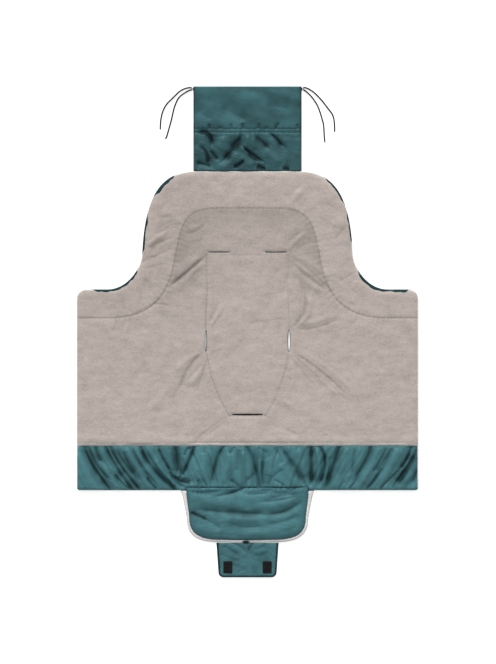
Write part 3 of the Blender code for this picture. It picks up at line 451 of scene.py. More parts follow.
def makePlastic(name, colour):
    material, shader = newMaterial(name, colour, 0.42)
    grain = evenNoise(material, 700, 3)
    moulded = colourRamp(material, grain, colour, ((0.3, 0.8), (0.8, 1.5)))
    link(material, moulded, shader.inputs["Base Color"])
    addBump(material, shader, grain, 0.00008)
    return material


# What each finish is made with, and its own values
looks = {
    "nylon": (makeNylon, {"colour": (0.067, 0.190, 0.210)}),
    # The head panel's nylon is the nylon made darker: painted shade over the whole panel
    "nylon_head": (makeNylon, {"colour": (0.0469, 0.133, 0.147)}),
    # Dark nylon; on the slivers where the shell shows past the fleece it is painted shade
    "nylon_dark": (makeNylon, {"colour": (0.011, 0.034, 0.040), "roughness": 0.60, "specular": 0.16}),
    "fleece": (makeFleece, {"colour": (0.500, 0.436, 0.398)}),
    "fleece_edge": (makeFleece, {"colour": (0.76, 0.745, 0.73)}),
    "fleece_hem": (makeFleece, {"colour": (0.50, 0.49, 0.46)}),
    "binding": (makeTape, {"colour": (0.24, 0.235, 0.23), "pitch": 0.0007}),
    "binding_dark": (makeTape, {"colour": (0.05, 0.054, 0.058), "pitch": 0.0007}),
    "tape": (makeTape, {"colour": (0.035, 0.095, 0.108), "pitch": 0.0006}),
    "cord": (makeTape, {"colour": (0.004, 0.004, 0.0045), "pitch": 0.0009}),
    "thread": (makeTape, {"colour": (0.014, 0.045, 0.052), "pitch": 0.0003}),
    "thread_fleece": (makeTape, {"colour": (0.33, 0.29, 0.265), "pitch": 0.0003}),
    "loop": (makePile, {"colour": (0.016, 0.016, 0.017), "size": 0.0011, "depth": 0.0006}),
    "hook": (makePile, {"colour": (0.010, 0.009, 0.010), "size": 0.0009, "depth": 0.0004}),
    "metal": (makeMetal, {"colour": (0.060, 0.062, 0.066)}),
    "teeth": (makePlastic, {"colour": (0.030, 0.030, 0.032)}),
}
materials = {name: make(name, **values) for name, (make, values) in looks.items()}
print("stage: materials")

# Where cloth bends across a fold: the two bodies, and where it starts and stops turning
bends = {
    "left": ("back", "left_wing", (-foldX, 0, foldZ), (-foldX - 0.045, 0, foldZ)),
    "right": ("back", "right_wing", (foldX, 0, foldZ), (foldX + 0.045, 0, foldZ)),
    "flap": ("back", "foot_flap", (0, edgeY, foldZ), (0, edgeY - 0.030, foldZ)),
    "tab": ("foot_flap", "closure_tab", (0, flapEndY, tabFoldZ), (0, flapEndY - 0.020, tabFoldZ)),
    "head": ("back", "head_panel", (0, hoodTopY, 0), (0, hoodTopY + 0.025, 0)),
}


# Links a mesh as a piece that rides on a body or lies across a fold, and stands for CAD nodes
def addPiece(name, mesh, finish, on, stands=()):
    piece = bpy.data.objects.new(name, mesh)
    bpy.context.scene.collection.objects.link(piece)
    piece.data.materials.append(materials[finish])
    if stands:
        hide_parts(*stands)
    if on in bends:
        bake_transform(piece)
    else:
        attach(piece, on)
    return piece


# Triangles over an outline, with edges along the paths
def triangulate(paths, lattice, outline, holes=()):
    places = []
    edges = []
    for path, closed in paths:
        first = len(places)
        places.extend(map(tuple, path))
        count = len(path)
        edges.extend((first + i, first + i + 1) for i in range(count - 1))
        if closed:
            edges.append((first + count - 1, first))
    places.extend(map(tuple, lattice))
    found = delaunay_2d_cdt([Vector(p) for p in places], edges, [], 0, 1e-6)
    places = np.array([tuple(p) for p in found[0]])
    triangles = np.array(found[2])
    middles = places[triangles].mean(1)
    keep = inside(middles, outline)
    for hole in holes:
        keep &= ~inside(middles, hole)
    return places, triangles[keep]


def hexLattice(low, high, cell):
    rows = np.arange(low[1], high[1], cell * 0.866)
    columns = np.arange(low[0], high[0], cell)
    x, y = np.meshgrid(columns, rows)
    x[1::2] += cell / 2
    return np.stack([x.ravel(), y.ravel()], 1)


# Triangles for a cloth: rings inside its rim, its seams as edges, an even lattice between
def clothPlan(outline, cell, rings, paths=(), holes=(), fine=None):
    clear = 0.45 * cell  # between the lattice and any line
    border = spaced(outline, cell, closed=True)
    normals = inwards(border)
    low, high = border.min(0), border.max(0)
    lattice = hexLattice(low, high, cell)
    if fine:
        level, fineCell = fine
        lattice = lattice[lattice[:, 1] > level]
        lattice = np.concatenate([lattice, hexLattice(low, (high[0], level - fineCell / 2), fineCell)])
    lattice = lattice[inside(lattice, outline)]
    keep = nearest(lattice, outline, closed=True)[0] > rings[-1] + clear
    for path, closed in list(paths) + [(hole, True) for hole in holes]:
        keep &= nearest(lattice, path, closed)[0] > clear
    loose = [lattice[keep]]
    for ring in rings:
        moved = border + normals * ring
        away = nearest(moved, outline, closed=True)[0]
        loose.append(moved[(away > 0.85 * ring) & inside(moved, outline)])
    lines = [(border, True)] + [(spaced(p, cell, c), c) for p, c in paths] + [(h, True) for h in holes]
    return triangulate(lines, np.concatenate(loose), outline, holes)


def vertexNormals(vertices, triangles):
    corners = vertices[triangles]
    faces = np.cross(corners[:, 1] - corners[:, 0], corners[:, 2] - corners[:, 0])
    normals = np.zeros_like(vertices)
    for i in range(3):
        np.add.at(normals, triangles[:, i], faces)
    lengths = np.linalg.norm(normals, axis=1)
    return normals / np.maximum(lengths, 1e-12)[:, None]


# A smooth cloth of the triangles; given normals keep it smooth across a cut
def clothMesh(name, vertices, triangles, normals=None, painted_shade=None):
    used, index = np.unique(triangles, return_inverse=True)
    mesh = bpy.data.meshes.new(name)
    mesh.from_pydata(vertices[used].tolist(), [], index.reshape(-1, 3).tolist())
    mesh.shade_smooth()
    # Painted shade of each vertex, which its material darkens its colour by
    if painted_shade is not None:
        layer = mesh.attributes.new("painted_shade", "FLOAT", "POINT")
        layer.data.foreach_set("value", painted_shade[used])
    if normals is not None:
        mesh.normals_split_custom_set_from_vertices(normals[used].tolist())
    return mesh


# A stuffed form: an upper and a lower cloth that meet along the outline
def closedPillow(name, outline, cell, rings, topHeight, lowHeight, paths=(), paintedShadeFrom=None):
    places, triangles = clothPlan(outline, cell, rings, paths)
    border = spaced(outline, cell, closed=True)
    away = nearest(places, border, closed=True)[0]
    top = np.column_stack([places, topHeight(places, away)])
    low = np.column_stack([places, lowHeight(places, away)])
    count = len(places)
    rim = away < 1e-6
    triangles = triangles[~rim[triangles].all(1)]  # a corner's outermost triangle would lie double
    under = np.where(rim, np.arange(count), np.arange(count) + count)
    vertices = np.concatenate([top, low])
    faces = np.concatenate([triangles, under[triangles][:, ::-1]])
    # Painted shade on the upper cloth only
    painted_shade = np.concatenate([paintedShadeFrom(places), np.zeros(count)]) if paintedShadeFrom else None
    return clothMesh(name, vertices, faces, painted_shade=painted_shade)


def meshFrom(name, bm, sharpAngle=None):
    mesh = bpy.data.meshes.new(name)
    bm.to_mesh(mesh)
    bm.free()
    mesh.shade_smooth()
    if sharpAngle:
        mesh.set_sharp_from_angle(angle=math.radians(sharpAngle))
    return mesh


# A copy of a small mesh at each place
def addCopies(bm, mesh, places):
    for place in places:
        copy = mesh.copy()
        copy.transform(place)
        bm.from_mesh(copy)
        bpy.data.meshes.remove(copy)
    bpy.data.meshes.remove(mesh)


# A skin through equal rows of points: a grid laid on them, sewn up where row or path closes.
# An open strip faces 1 for up or -1 for down
def sweptMesh(name, sections, closedPath=False, faces=0):
    sections = np.array(sections, float)
    if not faces:
        sections = np.concatenate([sections, sections[:, :1]], axis=1)
    if closedPath:
        sections = np.concatenate([sections, sections[:1]])
    rows, columns = (count - 1 for count in sections.shape[:2])
    bm = bmesh.new()
    bmesh.ops.create_grid(bm, x_segments=columns, y_segments=rows, size=0.5)
    for vert in bm.verts:
        vert.co = sections[round((vert.co.y + 0.5) * rows), round((vert.co.x + 0.5) * columns)]
    bmesh.ops.remove_doubles(bm, verts=bm.verts[:], dist=1e-7)
    if not faces and not closedPath:
        bmesh.ops.holes_fill(bm, edges=[edge for edge in bm.edges if edge.is_boundary], sides=0)
    bmesh.ops.recalc_face_normals(bm, faces=bm.faces[:])
    if faces * sum(face.calc_area() * face.normal.z for face in bm.faces) < 0:
        bmesh.ops.reverse_faces(bm, faces=bm.faces[:])
    return meshFrom(name, bm)


def ringAt(centre, across, up, turns, radius=1.0):
    ring = np.cos(turns)[:, None] * np.array(across) + np.sin(turns)[:, None] * np.array(up)
    return np.array(centre) + np.reshape(radius, (-1, 1)) * ring


stitch = {"length": 0.0030, "gap": 0.0016, "radius": 0.00045}


# Rows of sewn stitches along runs of points: each a small capsule half sunk in the cloth
def stitchMesh(name, runs, radius=stitch["radius"]):
    pitch = stitch["length"] + stitch["gap"]
    places = []
    for run in runs:
        points = spaced(run, pitch / 2)
        for start, end in zip(points[::2], points[1::2]):
            along = (end - start) * stitch["length"] / pitch
            side = np.cross(along, (0, 0, 1))
            side *= radius / np.linalg.norm(side)
            up = np.cross(along, side)
            up *= radius / np.linalg.norm(up)
            turned = Matrix((side, up, along)).transposed().to_4x4()
            places.append(Matrix.Translation((start + end) / 2) @ turned)
    ball, bm = bmesh.new(), bmesh.new()
    bmesh.ops.create_uvsphere(ball, u_segments=6, v_segments=4, radius=1)
    addCopies(bm, meshFrom("ball", ball), places)
    return meshFrom(name, bm)


# Outlines and seams of the padded body
rounding = {"wing": 0.023, "low": 0.008}
hoodLength = hoodTopY - wingTopY
hoodHalf = 0.3076 * span
shoulderEnd = (hoodHalf, hoodTopY - 0.6835 * hoodLength)
shoulderCurve = curveBetween((0.1404, hoodTopY), shoulderEnd, ((0.70, 0.02), (0.95, 0.37)), 18)
armpitEnd = (hoodHalf + 0.1012 * span, wingTopY)
armpitCurve = curveBetween(shoulderCurve[-1], armpitEnd, ((0.03, 0.50), (0.48, 1.00)), 16)
wingCentre = (span / 2 - rounding["wing"], wingTopY - rounding["wing"])
lowCentre = (span / 2 - rounding["low"], edgeY + rounding["low"])
upperEdge = [shoulderCurve, armpitCurve[1:], cornerArc(wingCentre, rounding["wing"], 90, 0)]
bodyOutline = bothSides(np.concatenate([*upperEdge, cornerArc(lowCentre, rounding["low"], 0, -90)]))
seamTop = (0.0821 * span, hoodTopY - 0.3148 * hoodLength)
seamWaist = (0.2134 * span, hoodTopY - 0.7530 * hoodLength)
seamWing = (0.4240 * span, wingTopY - 0.1416 * (wingTopY - edgeY))
seamHalf = np.concatenate([
    curveBetween(seamTop, seamWaist, ((0.82, 0.0), (0.84, 0.31))),
    curveBetween(seamWaist, seamWing, ((0.08, 0.58), (0.29, 1.04)))[1:],
    [(span / 2, seamWing[1])],
])
borderSeam = np.concatenate([seamHalf[::-1] * (-1, 1), seamHalf])
liningArea = np.concatenate([borderSeam, [(span / 2, liningLowY), (-span / 2, liningLowY)]])

# The zip lies in a channel under the wings' outer edges, where the shell ends short of the fleece
channel = {"inner": 0.4336, "low": -0.4062, "high": 0.0846, "roof": 0.0068}
channelEnds = [(channel["inner"], channel["high"]), (channel["inner"], channel["low"])]
shellCorner = cornerArc(lowCentre, rounding["low"], -20, -90)
shellOutline = bothSides(np.concatenate([*upperEdge, channelEnds, shellCorner]))

# Folds laid on lining, border and band, in mm, as rows for foldLine
liningFolds = (
    (-103, 199, -156, 155, -210, 110, 3.7, -2),
    (-118, 187, -149, 145, -191, 96, 7, 1.8),
    (-115, 204, -162, 173, -201, 141, 8, 1.6),
    (-103, 161, -132, 135, -175, 91, 3.7, -0.9),
    (-219, 89, -245, 69, -267, 58, 3.7, -1),
    (-249, 69, -288, 46, -323, 13, 3.7, -0.9),
    (111, 199, 166, 154, 232, 93, 3.7, -1.9),
    (124, 200, 187, 161, 237, 121, 8, 1.6),
    (114, 181, 152, 141, 201, 96, 8, 1.6),
    (136, 167, 142, 117, 136, 57, 3.7, -1.4),
    (145, 114, 149, 65, 117, 8, 3.7, -1.6),
    (157, 100, 159, 57, 136, 13, 7, 1.6),
    (182, 135, 242, 86, 301, 60, 3.1, -0.7),
    (-108, -54, -125, -91, -163, -129, 3.1, -1.6),
    (-163, -129, -182, -151, -195, -183, 3.7, -1.1),
    (-97, -73, -118, -108, -153, -143, 7, 1.4),
    (114, -54, 159, -98, 201, -129, 3.1, -1.9),
    (201, -129, 232, -153, 263, -184, 3.7, -1.2),
    (128, -53, 180, -91, 232, -132, 8, 1.8),
    (121, -73, 145, -108, 183, -150, 3.7, -1.1),
    (114, -65, 121, -108, 117, -151, 8, 1.2),
    (-331, 18, -342, -4, -354, -32, 4.3, -0.9),
    (-309, 22, -319, -8, -331, -39, 8, 1.2),
    (-384, -39, -389, -91, -406, -151, 5.6, -0.7),
    (-248, -117, -254, -160, -267, -205, 5, -0.7),
    (-201, -39, -219, -73, -229, -108, 9, 1),
    (344, -4, 362, -56, 353, -108, 6.2, -0.6),
    (301, -73, 319, -125, 310, -186, 10, 1),
    (275, 39, 265, -4, 242, -39, 4.3, -0.7),
    (-47, -223, -84, -254, -132, -287, 3.7, -1.2),
    (50, -223, 93, -247, 145, -283, 4.3, -0.7),
    (-11, -229, -11, -255, -18, -287, 10, 1),
    (-305, -238, -201, -273, -97, -283, 5.6, -0.6),
    (197, -247, 284, -278, 388, -287, 6.2, -0.6),
    (-101, 204, -163, 149, -211, 111, 4, -2.6),
    (-115, 201, -179, 146, -214, 124, 6, 1.8),
    (-97, 189, -150, 148, -205, 104, 7, 1.6),
    (-253, 67, -226, 72, -199, 64, 2.5, -2),
    (-340, 38, -342, 18, -352, -7, 4, -1.2),
    (-318, 38, -322, 12, -330, -18, 4, -1.2),
    (-298, 41, -306, 12, -315, -10, 4, -1),
    (-106, -50, -150, -89, -179, -156, 5, -2.4),
    (-115, -53, -168, -83, -198, -118, 6, 1.4),
    (-106, -53, -120, -95, -159, -148, 7, 2),
    (-108, -54, -115, -106, -139, -166, 5, -1.6),
    (-97, -53, -80, -51, -63, -45, 3, -1),
    (-56, 77, -82, 35, -101, 10, 5, 1.6),
    (-70, 82, -91, 41, -102, 18, 4, -1.4),
    (-96, 189, -94, 112, -96, 29, 3, 1),
    (-298, -65, -288, -95, -273, -118, 8, -1.6),
    (-56, -222, -91, -248, -139, -284, 6, -2),
    (-68, -236, -115, -260, -150, -290, 6, 1.2),
    (-221, -195, -239, -236, -245, -278, 9, -1.2),
    (-375, 18, -369, -36, -393, -95, 10, -1.4),
    (-251, 18, -269, -36, -251, -95, 11, 1.4),
    (-410, -118, -363, -142, -328, -201, 12, -1.2),
    (-192, -118, -221, -166, -269, -213, 10, 1.6),
    (112, 185, 156, 143, 224, 99, 4, -2.6),
    (120, 189, 168, 148, 221, 118, 6, 1.6),
    (108, 171, 150, 130, 203, 94, 7, 1.6),
    (139, 106, 151, 58, 117, 10, 3, -2.6),
    (151, 100, 164, 58, 130, 12, 5, 1.4),
    (118, 8, 173, 9, 247, 38, 4, -1.6),
    (124, 18, 173, 25, 238, 50, 6, 1.6),
    (112, -56, 173, -89, 269, -175, 3.5, -2.4),
    (108, -60, 156, -95, 250, -177, 6, 1.6),
    (120, -47, 191, -83, 286, -166, 6, 1.4),
    (114, -57, 123, -83, 137, -106, 3, -1.6),
    (110, -54, 106, -83, 95, -118, 4, -1.4),
    (114, 177, 100, 124, 91, 77, 7, -1.6),
    (55, 177, 38, 106, 14, 41, 10, 1.6),
    (-4, 22, 49, 28, 108, 36, 5, -1.2),
    (250, -12, 274, -65, 268, -118, 10, -1.4),
    (327, -36, 351, -95, 410, -142, 12, -1.2),
    (351, 12, 386, -24, 410, -83, 12, 1.2),
    (173, -142, 168, -195, 173, -248, 9, -1.2),
    (55, -154, 102, -189, 173, -213, 9, 1.2),
    (46, -225, 79, -248, 144, -272, 6, -1.2),
    (262, 124, 274, 106, 292, 100, 4, -1.2),
    (-262, 214, -234, 229, -210, 245, 3, -1.8),
    (-269, 224, -238, 240, -212, 257, 5, 1.4),
    (-250, 252, -219, 262, -198, 283, 4, -1.6),
    (-238, 293, -217, 299, -191, 297, 5, -1.2),
    (-282, 181, -259, 189, -241, 198, 4, -1.6),
    (-207, 278, -186, 278, -169, 284, 5, -1.2),
    (-165, 257, -139, 259, -108, 278, 5, -1.2),
    (-160, 231, -134, 234, -108, 244, 5, -1),
    (-160, 267, -134, 272, -108, 288, 6, 1.2),
    (-259, 142, -269, 111, -264, 75, 6, -1.2),
    (-207, 366, -212, 335, -202, 309, 8, -1.2),
    (-118, 382, -108, 350, -105, 326, 7, -1.2),
    (-170, 366, -160, 345, -165, 324, 7, 1),
    (-94, 184, -92, 111, -96, 28, 3, 1),
    (98, 328, 117, 356, 142, 387, 6, -1.6),
    (110, 328, 129, 356, 152, 382, 6, 1.4),
    (103, 207, 126, 236, 160, 262, 5, 1.8),
    (96, 215, 117, 243, 147, 266, 5, -1.4),
    (121, 205, 147, 226, 178, 236, 5, -1),
    (264, 280, 246, 262, 225, 233, 5, -1.8),
    (240, 330, 246, 304, 256, 288, 6, -1.2),
    (199, 309, 225, 278, 240, 278, 7, 1.2),
    (204, 142, 230, 142, 256, 122, 5, -1.2),
    (32, 132, 15, 80, 12, 28, 10, 1.4),
    (90, 184, 69, 122, 74, 70, 8, -1.6),
)
borderFolds = (
    (-257, 202, -229, 228, -186, 249, 3.7, -1.8),
    (-260, 216, -234, 245, -196, 268, 7, 1.8),
    (-254, 187, -222, 204, -188, 219, 3.7, -1.5),
    (-245, 251, -217, 277, -175, 291, 4.3, -1.2),
    (-234, 308, -214, 329, -191, 351, 5, -1),
    (-243, 277, -222, 299, -201, 317, 8, 1.2),
    (-267, 161, -240, 171, -205, 176, 3.7, -1.2),
    (-274, 141, -257, 124, -248, 96, 3.7, -1),
    (-292, 119, -279, 100, -276, 74, 3.7, -1.2),
    (-331, 102, -323, 79, -326, 51, 4.3, -0.9),
    (93, 343, 114, 363, 124, 382, 5.6, -1.2),
    (111, 334, 136, 356, 156, 377, 9, 1.2),
    (249, 317, 223, 323, 201, 343, 5, -0.9),
    (268, 252, 242, 266, 220, 273, 5, -0.9),
    (275, 219, 249, 225, 223, 219, 5, -0.9),
    (284, 161, 263, 143, 232, 129, 4.3, -1.2),
    (289, 138, 273, 117, 254, 102, 7, 1.4),
    (305, 110, 298, 83, 306, 60, 4.3, -1),
    (370, 98, 364, 74, 372, 46, 5, -0.8),
    (-54, 395, -45, 369, -54, 337, 6.2, -0.6),
    (24, 386, 58, 374, 93, 379, 10, 0.8),
)
bandFolds = (
    (-424, -300, -403, -346, -359, -409, 4, -6.4),
    (-411, -300, -389, -351, -353, -385, 5, -3.2),
    (-338, -308, -316, -346, -281, -385, 5, -3.2),
    (-299, -304, -276, -346, -240, -395, 5, -3.6),
    (-430, -308, -410, -355, -381, -407, 8, -2.2),
    (-368, -300, -345, -346, -303, -409, 5, -9),
    (-357, -300, -332, -346, -281, -410, 4, -5),
    (-277, -300, -253, -346, -190, -409, 4.5, -9),
    (-260, -308, -238, -351, -186, -407, 4, -3.5),
    (-232, -301, -222, -325, -203, -359, 3.5, -5),
    (-345, -370, -329, -390, -306, -409, 4, -4.8),
    (-262, -379, -251, -393, -237, -409, 4, -4.4),
    (-320, -308, -316, -329, -296, -368, 9, -3.6),
    (-395, -300, -390, -320, -381, -338, 6, -4),
    (-187, -301, -183, -333, -182, -364, 6, -6),
    (-183, -383, -169, -389, -150, -390, 7, -7.5),
    (-188, -303, -183, -342, -169, -371, 12, -4.5),
    (-203, -364, -188, -385, -169, -403, 4, -4.5),
    (-390, -308, -372, -351, -333, -403, 12, 3.2),
    (-316, -308, -294, -351, -247, -403, 14, 3.4),
    (-238, -333, -221, -364, -190, -398, 8, 3.4),
    (-203, -308, -203, -333, -195, -359, 9, 3.2),
    (-203, -370, -195, -390, -184, -408, 4, 2.4),
    (-437, -316, -424, -351, -407, -398, 10, 2.6),
    (-138, -299, -152, -337, -171, -374, 4, -7),
    (-146, -303, -157, -308, -164, -322, 4, -3.5),
    (-193, -377, -178, -385, -161, -385, 4.5, -7),
    (-62, -300, -79, -333, -92, -387, 4, -6.5),
    (-34, -299, -39, -306, -45, -316, 4, -3.5),
    (-22, -308, -25, -337, -28, -363, 7, -2.6),
    (-2, -299, 17, -341, 30, -400, 5, -6.5),
    (41, -337, 39, -371, 41, -400, 4, -4),
    (27, -300, 38, -308, 52, -316, 5, -2.6),
    (69, -302, 82, -319, 93, -341, 6, -2.8),
    (93, -310, 118, -348, 147, -395, 5, -7),
    (111, -337, 130, -363, 145, -385, 8, -3),
    (95, -358, 70, -374, 52, -400, 5, -2.8),
    (70, -386, 85, -393, 97, -402, 3, -3.2),
    (165, -296, 166, -345, 165, -393, 9, -5),
    (188, -299, 201, -337, 190, -391, 5, -6),
    (216, -326, 211, -356, 206, -389, 6, -3.4),
    (-129, -385, -127, -395, -130, -404, 3, -3.2),
    (-130, -359, -120, -379, -103, -402, 3, -2.6),
    (-43, -387, -30, -397, -21, -407, 4, -4),
    (22, -369, 4, -382, -11, -404, 6, -2.4),
    (-97, -308, -108, -341, -123, -385, 13, 3),
    (-48, -315, -52, -348, -63, -389, 12, 3.2),
    (-11, -315, 0, -352, 4, -382, 9, 3),
    (52, -330, 59, -352, 56, -374, 11, 3),
    (82, -348, 108, -374, 126, -400, 9, 2.6),
    (130, -308, 141, -341, 152, -374, 9, 3.2),
    (180, -304, 186, -345, 180, -389, 6, 3.4),
    (33, -333, 35, -367, 35, -397, 4, 2.6),
    (-108, -299, -112, -306, -114, -316, 5, -2),
    (240, -296, 225, -343, 205, -404, 5.5, -9),
    (279, -304, 275, -337, 271, -369, 5, -2.8),
    (320, -296, 311, -330, 289, -369, 5, -4),
    (289, -369, 280, -389, 264, -408, 4, -3.4),
    (378, -301, 364, -320, 338, -359, 6, -3.8),
    (352, -356, 333, -382, 311, -409, 4, -4.2),
    (441, -298, 422, -343, 387, -392, 9, -5.6),
    (426, -296, 418, -324, 400, -353, 5, -5.4),
    (392, -361, 369, -385, 344, -409, 4, -3.9),
    (445, -330, 441, -359, 429, -392, 5, -4.2),
    (361, -301, 348, -330, 328, -363, 4, -3.4),
    (413, -363, 396, -385, 377, -408, 4, -3.6),
    (254, -389, 244, -400, 234, -409, 4, -2.2),
    (195, -301, 209, -340, 200, -392, 7, 3.4),
    (257, -301, 247, -346, 231, -402, 10, 3.6),
    (296, -301, 292, -337, 266, -379, 9, 3),
    (344, -301, 332, -337, 299, -389, 12, 3.4),
    (396, -301, 377, -343, 332, -395, 14, 3.4),
    (429, -372, 403, -389, 384, -407, 10, 3),
    (276, -389, 266, -400, 257, -409, 4, 1.6),
)

# Quilted outline between the slots: its line and how deep it draws the cloth in, in metres
quilting = (
    (((-0.1066, 0.1996), (0.1066, 0.1996)), 0.0008),
    (((-0.1066, 0.1996), (-0.1046, 0.1100), (-0.1092, 0.0090)), 0.0022),
    (((0.1066, 0.1996), (0.1046, 0.1100), (0.1092, 0.0090)), 0.0005),
    (((-0.1068, -0.0560), (-0.0940, -0.1165), (-0.0715, -0.1770), (-0.0472, -0.2190)), 0.0019),
    (((0.1068, -0.0560), (0.0940, -0.1165), (0.0715, -0.1770), (0.0472, -0.2190)), 0.0010),
    (((-0.0472, -0.2190), (0.0472, -0.2190)), 0.0016),
)
gatherSeam = ((-0.1560, -0.4036), (-0.0800, -0.4050), (0.0, -0.4046), (0.0800, -0.4050), (0.1560, -0.4036))

# Harness slots: centre, half length, half opening, direction, and how far its lower end leans
slots = {
    "shoulder_slot_binding_left": ((-0.0740, 0.2074), 0.0275, 0.0007, "x", (0.0, 0.0030)),
    "shoulder_slot_binding_right": ((0.0740, 0.2074), 0.0275, 0.0010, "x", (0.0, 0.0020)),
    "waist_slot_binding_left": ((-0.1079, -0.0234), 0.0270, 0.0013, "y", (-0.0008, 0.0)),
    "waist_slot_binding_right": ((0.1079, -0.0234), 0.0270, 0.0024, "y", (0.0006, 0.0)),
    "crotch_slot_binding": ((0.0, -0.2152), 0.0390, 0.0010, "x", (0.0, 0.0034)),
}


# The lens that a bound slot opens to
def slotLens(centre, halfLength, halfWidth, direction, grow=0.0, steps=16):
    turns = np.linspace(0, 2 * math.pi, 2 * steps, endpoint=False)
    along = (halfLength + grow) * np.cos(turns)
    across = (halfWidth + grow) * np.sin(turns)
    points = np.stack([along, across], 1) if direction == "x" else np.stack([-across, along], 1)
    return points + np.array(centre)


def slotLine(centre, halfLength, direction):
    step = np.array((halfLength, 0) if direction == "x" else (0, halfLength))
    return np.array([centre - step, centre + step])


fleece = {
    "loft": 0.0132,
    "swells": ((0.0024, 0.085, 3.1), (0.0013, 0.030, 7.7), (0.0003, 0.0085, 1.3)),
    "nap": ((0.0006, 0.012, 17.0),),
    "seamPucker": (0.0005, 0.013),  # height and reach, as all the pairs below
    "seamWaves": (0.0135, 2.2, 0.05, 5.0),
    "seamValley": (0.0012, 0.0060),
    "seamLine": (0.0012, 0.0016),
    "quiltPucker": (0.12, 0.010),  # of the quilting's own depth, as the next three
    "quiltWaves": (0.011, 2.0, 0.04, 9.0),
    "quiltLine": (1.0, 0.0024),
    "quiltValley": (0.3, 0.016),
    "slotDip": (0.0026, 0.0050),
    "foldDip": (0.0006, 0.014),
    "lip": (0.0007, 0.008),  # swell above the hem
    "lipAbove": 0.010,
    "turnUnder": (0.0010, 0.0016),  # at the hem, and how much more over the flap
    "turnReach": 0.0020,
    "rim": 0.0080,  # by which its rim is wider than the band's
}


# Height of the fleece: loft, soft swell, folds, seams and quilting, before the rim
def fleeceTop(places):
    x, y = places.T
    height = fleece["loft"] + swells(places, fleece["swells"])
    height += swells(places * (1.0, 0.35), fleece["nap"])
    height += foldHeight(places, liningFolds) + foldHeight(places, borderFolds)
    away, along = nearest(places, borderSeam)
    height += beside(away, *fleece["seamPucker"]) * puckers(places, along, *fleece["seamWaves"])
    height -= beside(away, *fleece["seamValley"]) + beside(away, *fleece["seamLine"])
    for points, depth in quilting:
        away, along = nearest(places, points)
        waves = beside(away, *fleece["quiltPucker"]) * puckers(places, along, *fleece["quiltWaves"])
        height += depth * (waves - beside(away, *fleece["quiltLine"]) - beside(away, *fleece["quiltValley"]))
    for centre, halfLength, halfWidth, direction, lean in slots.values():
        away = nearest(places, slotLine(np.array(centre), halfLength, direction))[0]
        height -= beside(np.maximum(away - halfWidth, 0), *fleece["slotDip"])
    height -= bell(np.abs(x) - foldX, *fleece["foldDip"])
    height += bell(y - liningLowY - fleece["lipAbove"], *fleece["lip"])
    turned, more = fleece["turnUnder"]
    overhang = turned + more * smooth((0.165 - np.abs(x)) / 0.03)
    return height - beside(np.maximum(y - liningLowY, 0), overhang, fleece["turnReach"])


band = {
    "level": 0.0118,
    "swells": ((0.0010, 0.050, 2.0), (0.0005, 0.016, 4.0)),
    "belly": 0.0012,
    "puff": 0.0085,  # between the deep folds
    "puffReach": 0.018,
    "settle": 0.0034,
    "topGather": (0.0006, 0.10),
    "topWaves": (0.0125, 3, 0.05, 8.0),
    "creases": 0.0006,
    "streaks": 0.0012,
    "tucked": (0.0030, 0.0030),  # under the hem
    "thinnest": 0.0045,
    "seamGather": (0.0012, 0.007),
    "seamWaves": (0.0105, 6.0, 0.03, 6.0),
    "seamValley": (0.0036, 0.0020),
    "underFlap": 0.0070,
    "rim": 0.0090,
    "folds": {"past": 0.08, "fade": 0.16},
}


# Lines that lean in from both sides as the band's folds do
def bandAcross(places, lean):
    x, y = places.T
    return x + lean * np.tanh(x / 0.14) * (bandTopY - y)


# Fine creases of the gathered band
def bandCreases(places):
    return creasesAlong(bandAcross(places, 0.60), places[:, 1], 0.0150, 0.0900, 12.0)


# Broad soft pleats between the deep folds, from 0 to 1
def bandStreaks(places):
    across, y = bandAcross(places, 0.66), places[:, 1]
    broad = noiseAt(np.column_stack([across / 0.0125, y / 0.14]), 1.0, 61.0)
    fine = noiseAt(np.column_stack([across / 0.0052, y / 0.09]), 1.0, 63.0)
    return smooth(0.24 + 1.1 * broad + 0.4 * fine)


# Height of the gathered foot band, whose folds run to the pinches at the flap's corners
def bandTop(places):
    x, y = places.T
    depth = np.clip((bandTopY - y) / (bandTopY - edgeY), 0, 1)
    height = band["level"] + swells(places, band["swells"]) + band["belly"] * np.sin(math.pi * depth)
    height += foldHeight(places, bandFolds, **band["folds"]) - band["settle"]
    height += band["puff"] * puffBetween(places, bandFolds, band["puffReach"], past=0.06)
    height += beside(depth, *band["topGather"]) * puckers(places, x, *band["topWaves"])
    height -= band["creases"] * bandCreases(places) + band["streaks"] * (bandStreaks(places) - 0.3)
    height -= beside(np.maximum(bandTopY - y, 0), *band["tucked"])
    height = keptAbove(height, band["thinnest"], 0.0010)
    away, along = nearest(places, gatherSeam)
    height += beside(away, *band["seamGather"]) * puckers(places, along, *band["seamWaves"])
    height -= beside(away, *band["seamValley"])
    underFlap = smooth((-0.4050 - y) / 0.0025) * smooth((0.1620 - np.abs(x)) / 0.0040)
    return height + (np.minimum(height, band["underFlap"]) - height) * underFlap


# Painted shade on the band: in its folds, creases and soft pleats, the shadow under the hem, and along the
# gathered seam; less in the middle and to the right
bandDark = {
    "middle": 0.34,  # by which it is softer in the middle, and right of it
    "right": 0.12,
    "creases": 0.06,
    "streaks": 0.26,
    "hem": (0.5, 0.0012),
    "seam": 0.42,
    "seamUneven": 1.10,
    "seamReach": 0.0024,
}
# Painted shade on the fleece: along the border seam and beside it on the lining, more towards its upper part,
# towards the upper left, along the quilting and in the folds
fleeceDark = {
    "seam": (0.80, 0.0014),
    "besideSeam": 0.08,
    "upper": 0.54,  # more beside the seam's upper part
    "reach": 0.075,
    "left": 0.16,
    "quilting": 1 / 0.0050,  # for each metre of its depth
    "quiltReach": 0.0014,
    "folds": 0.8,
}
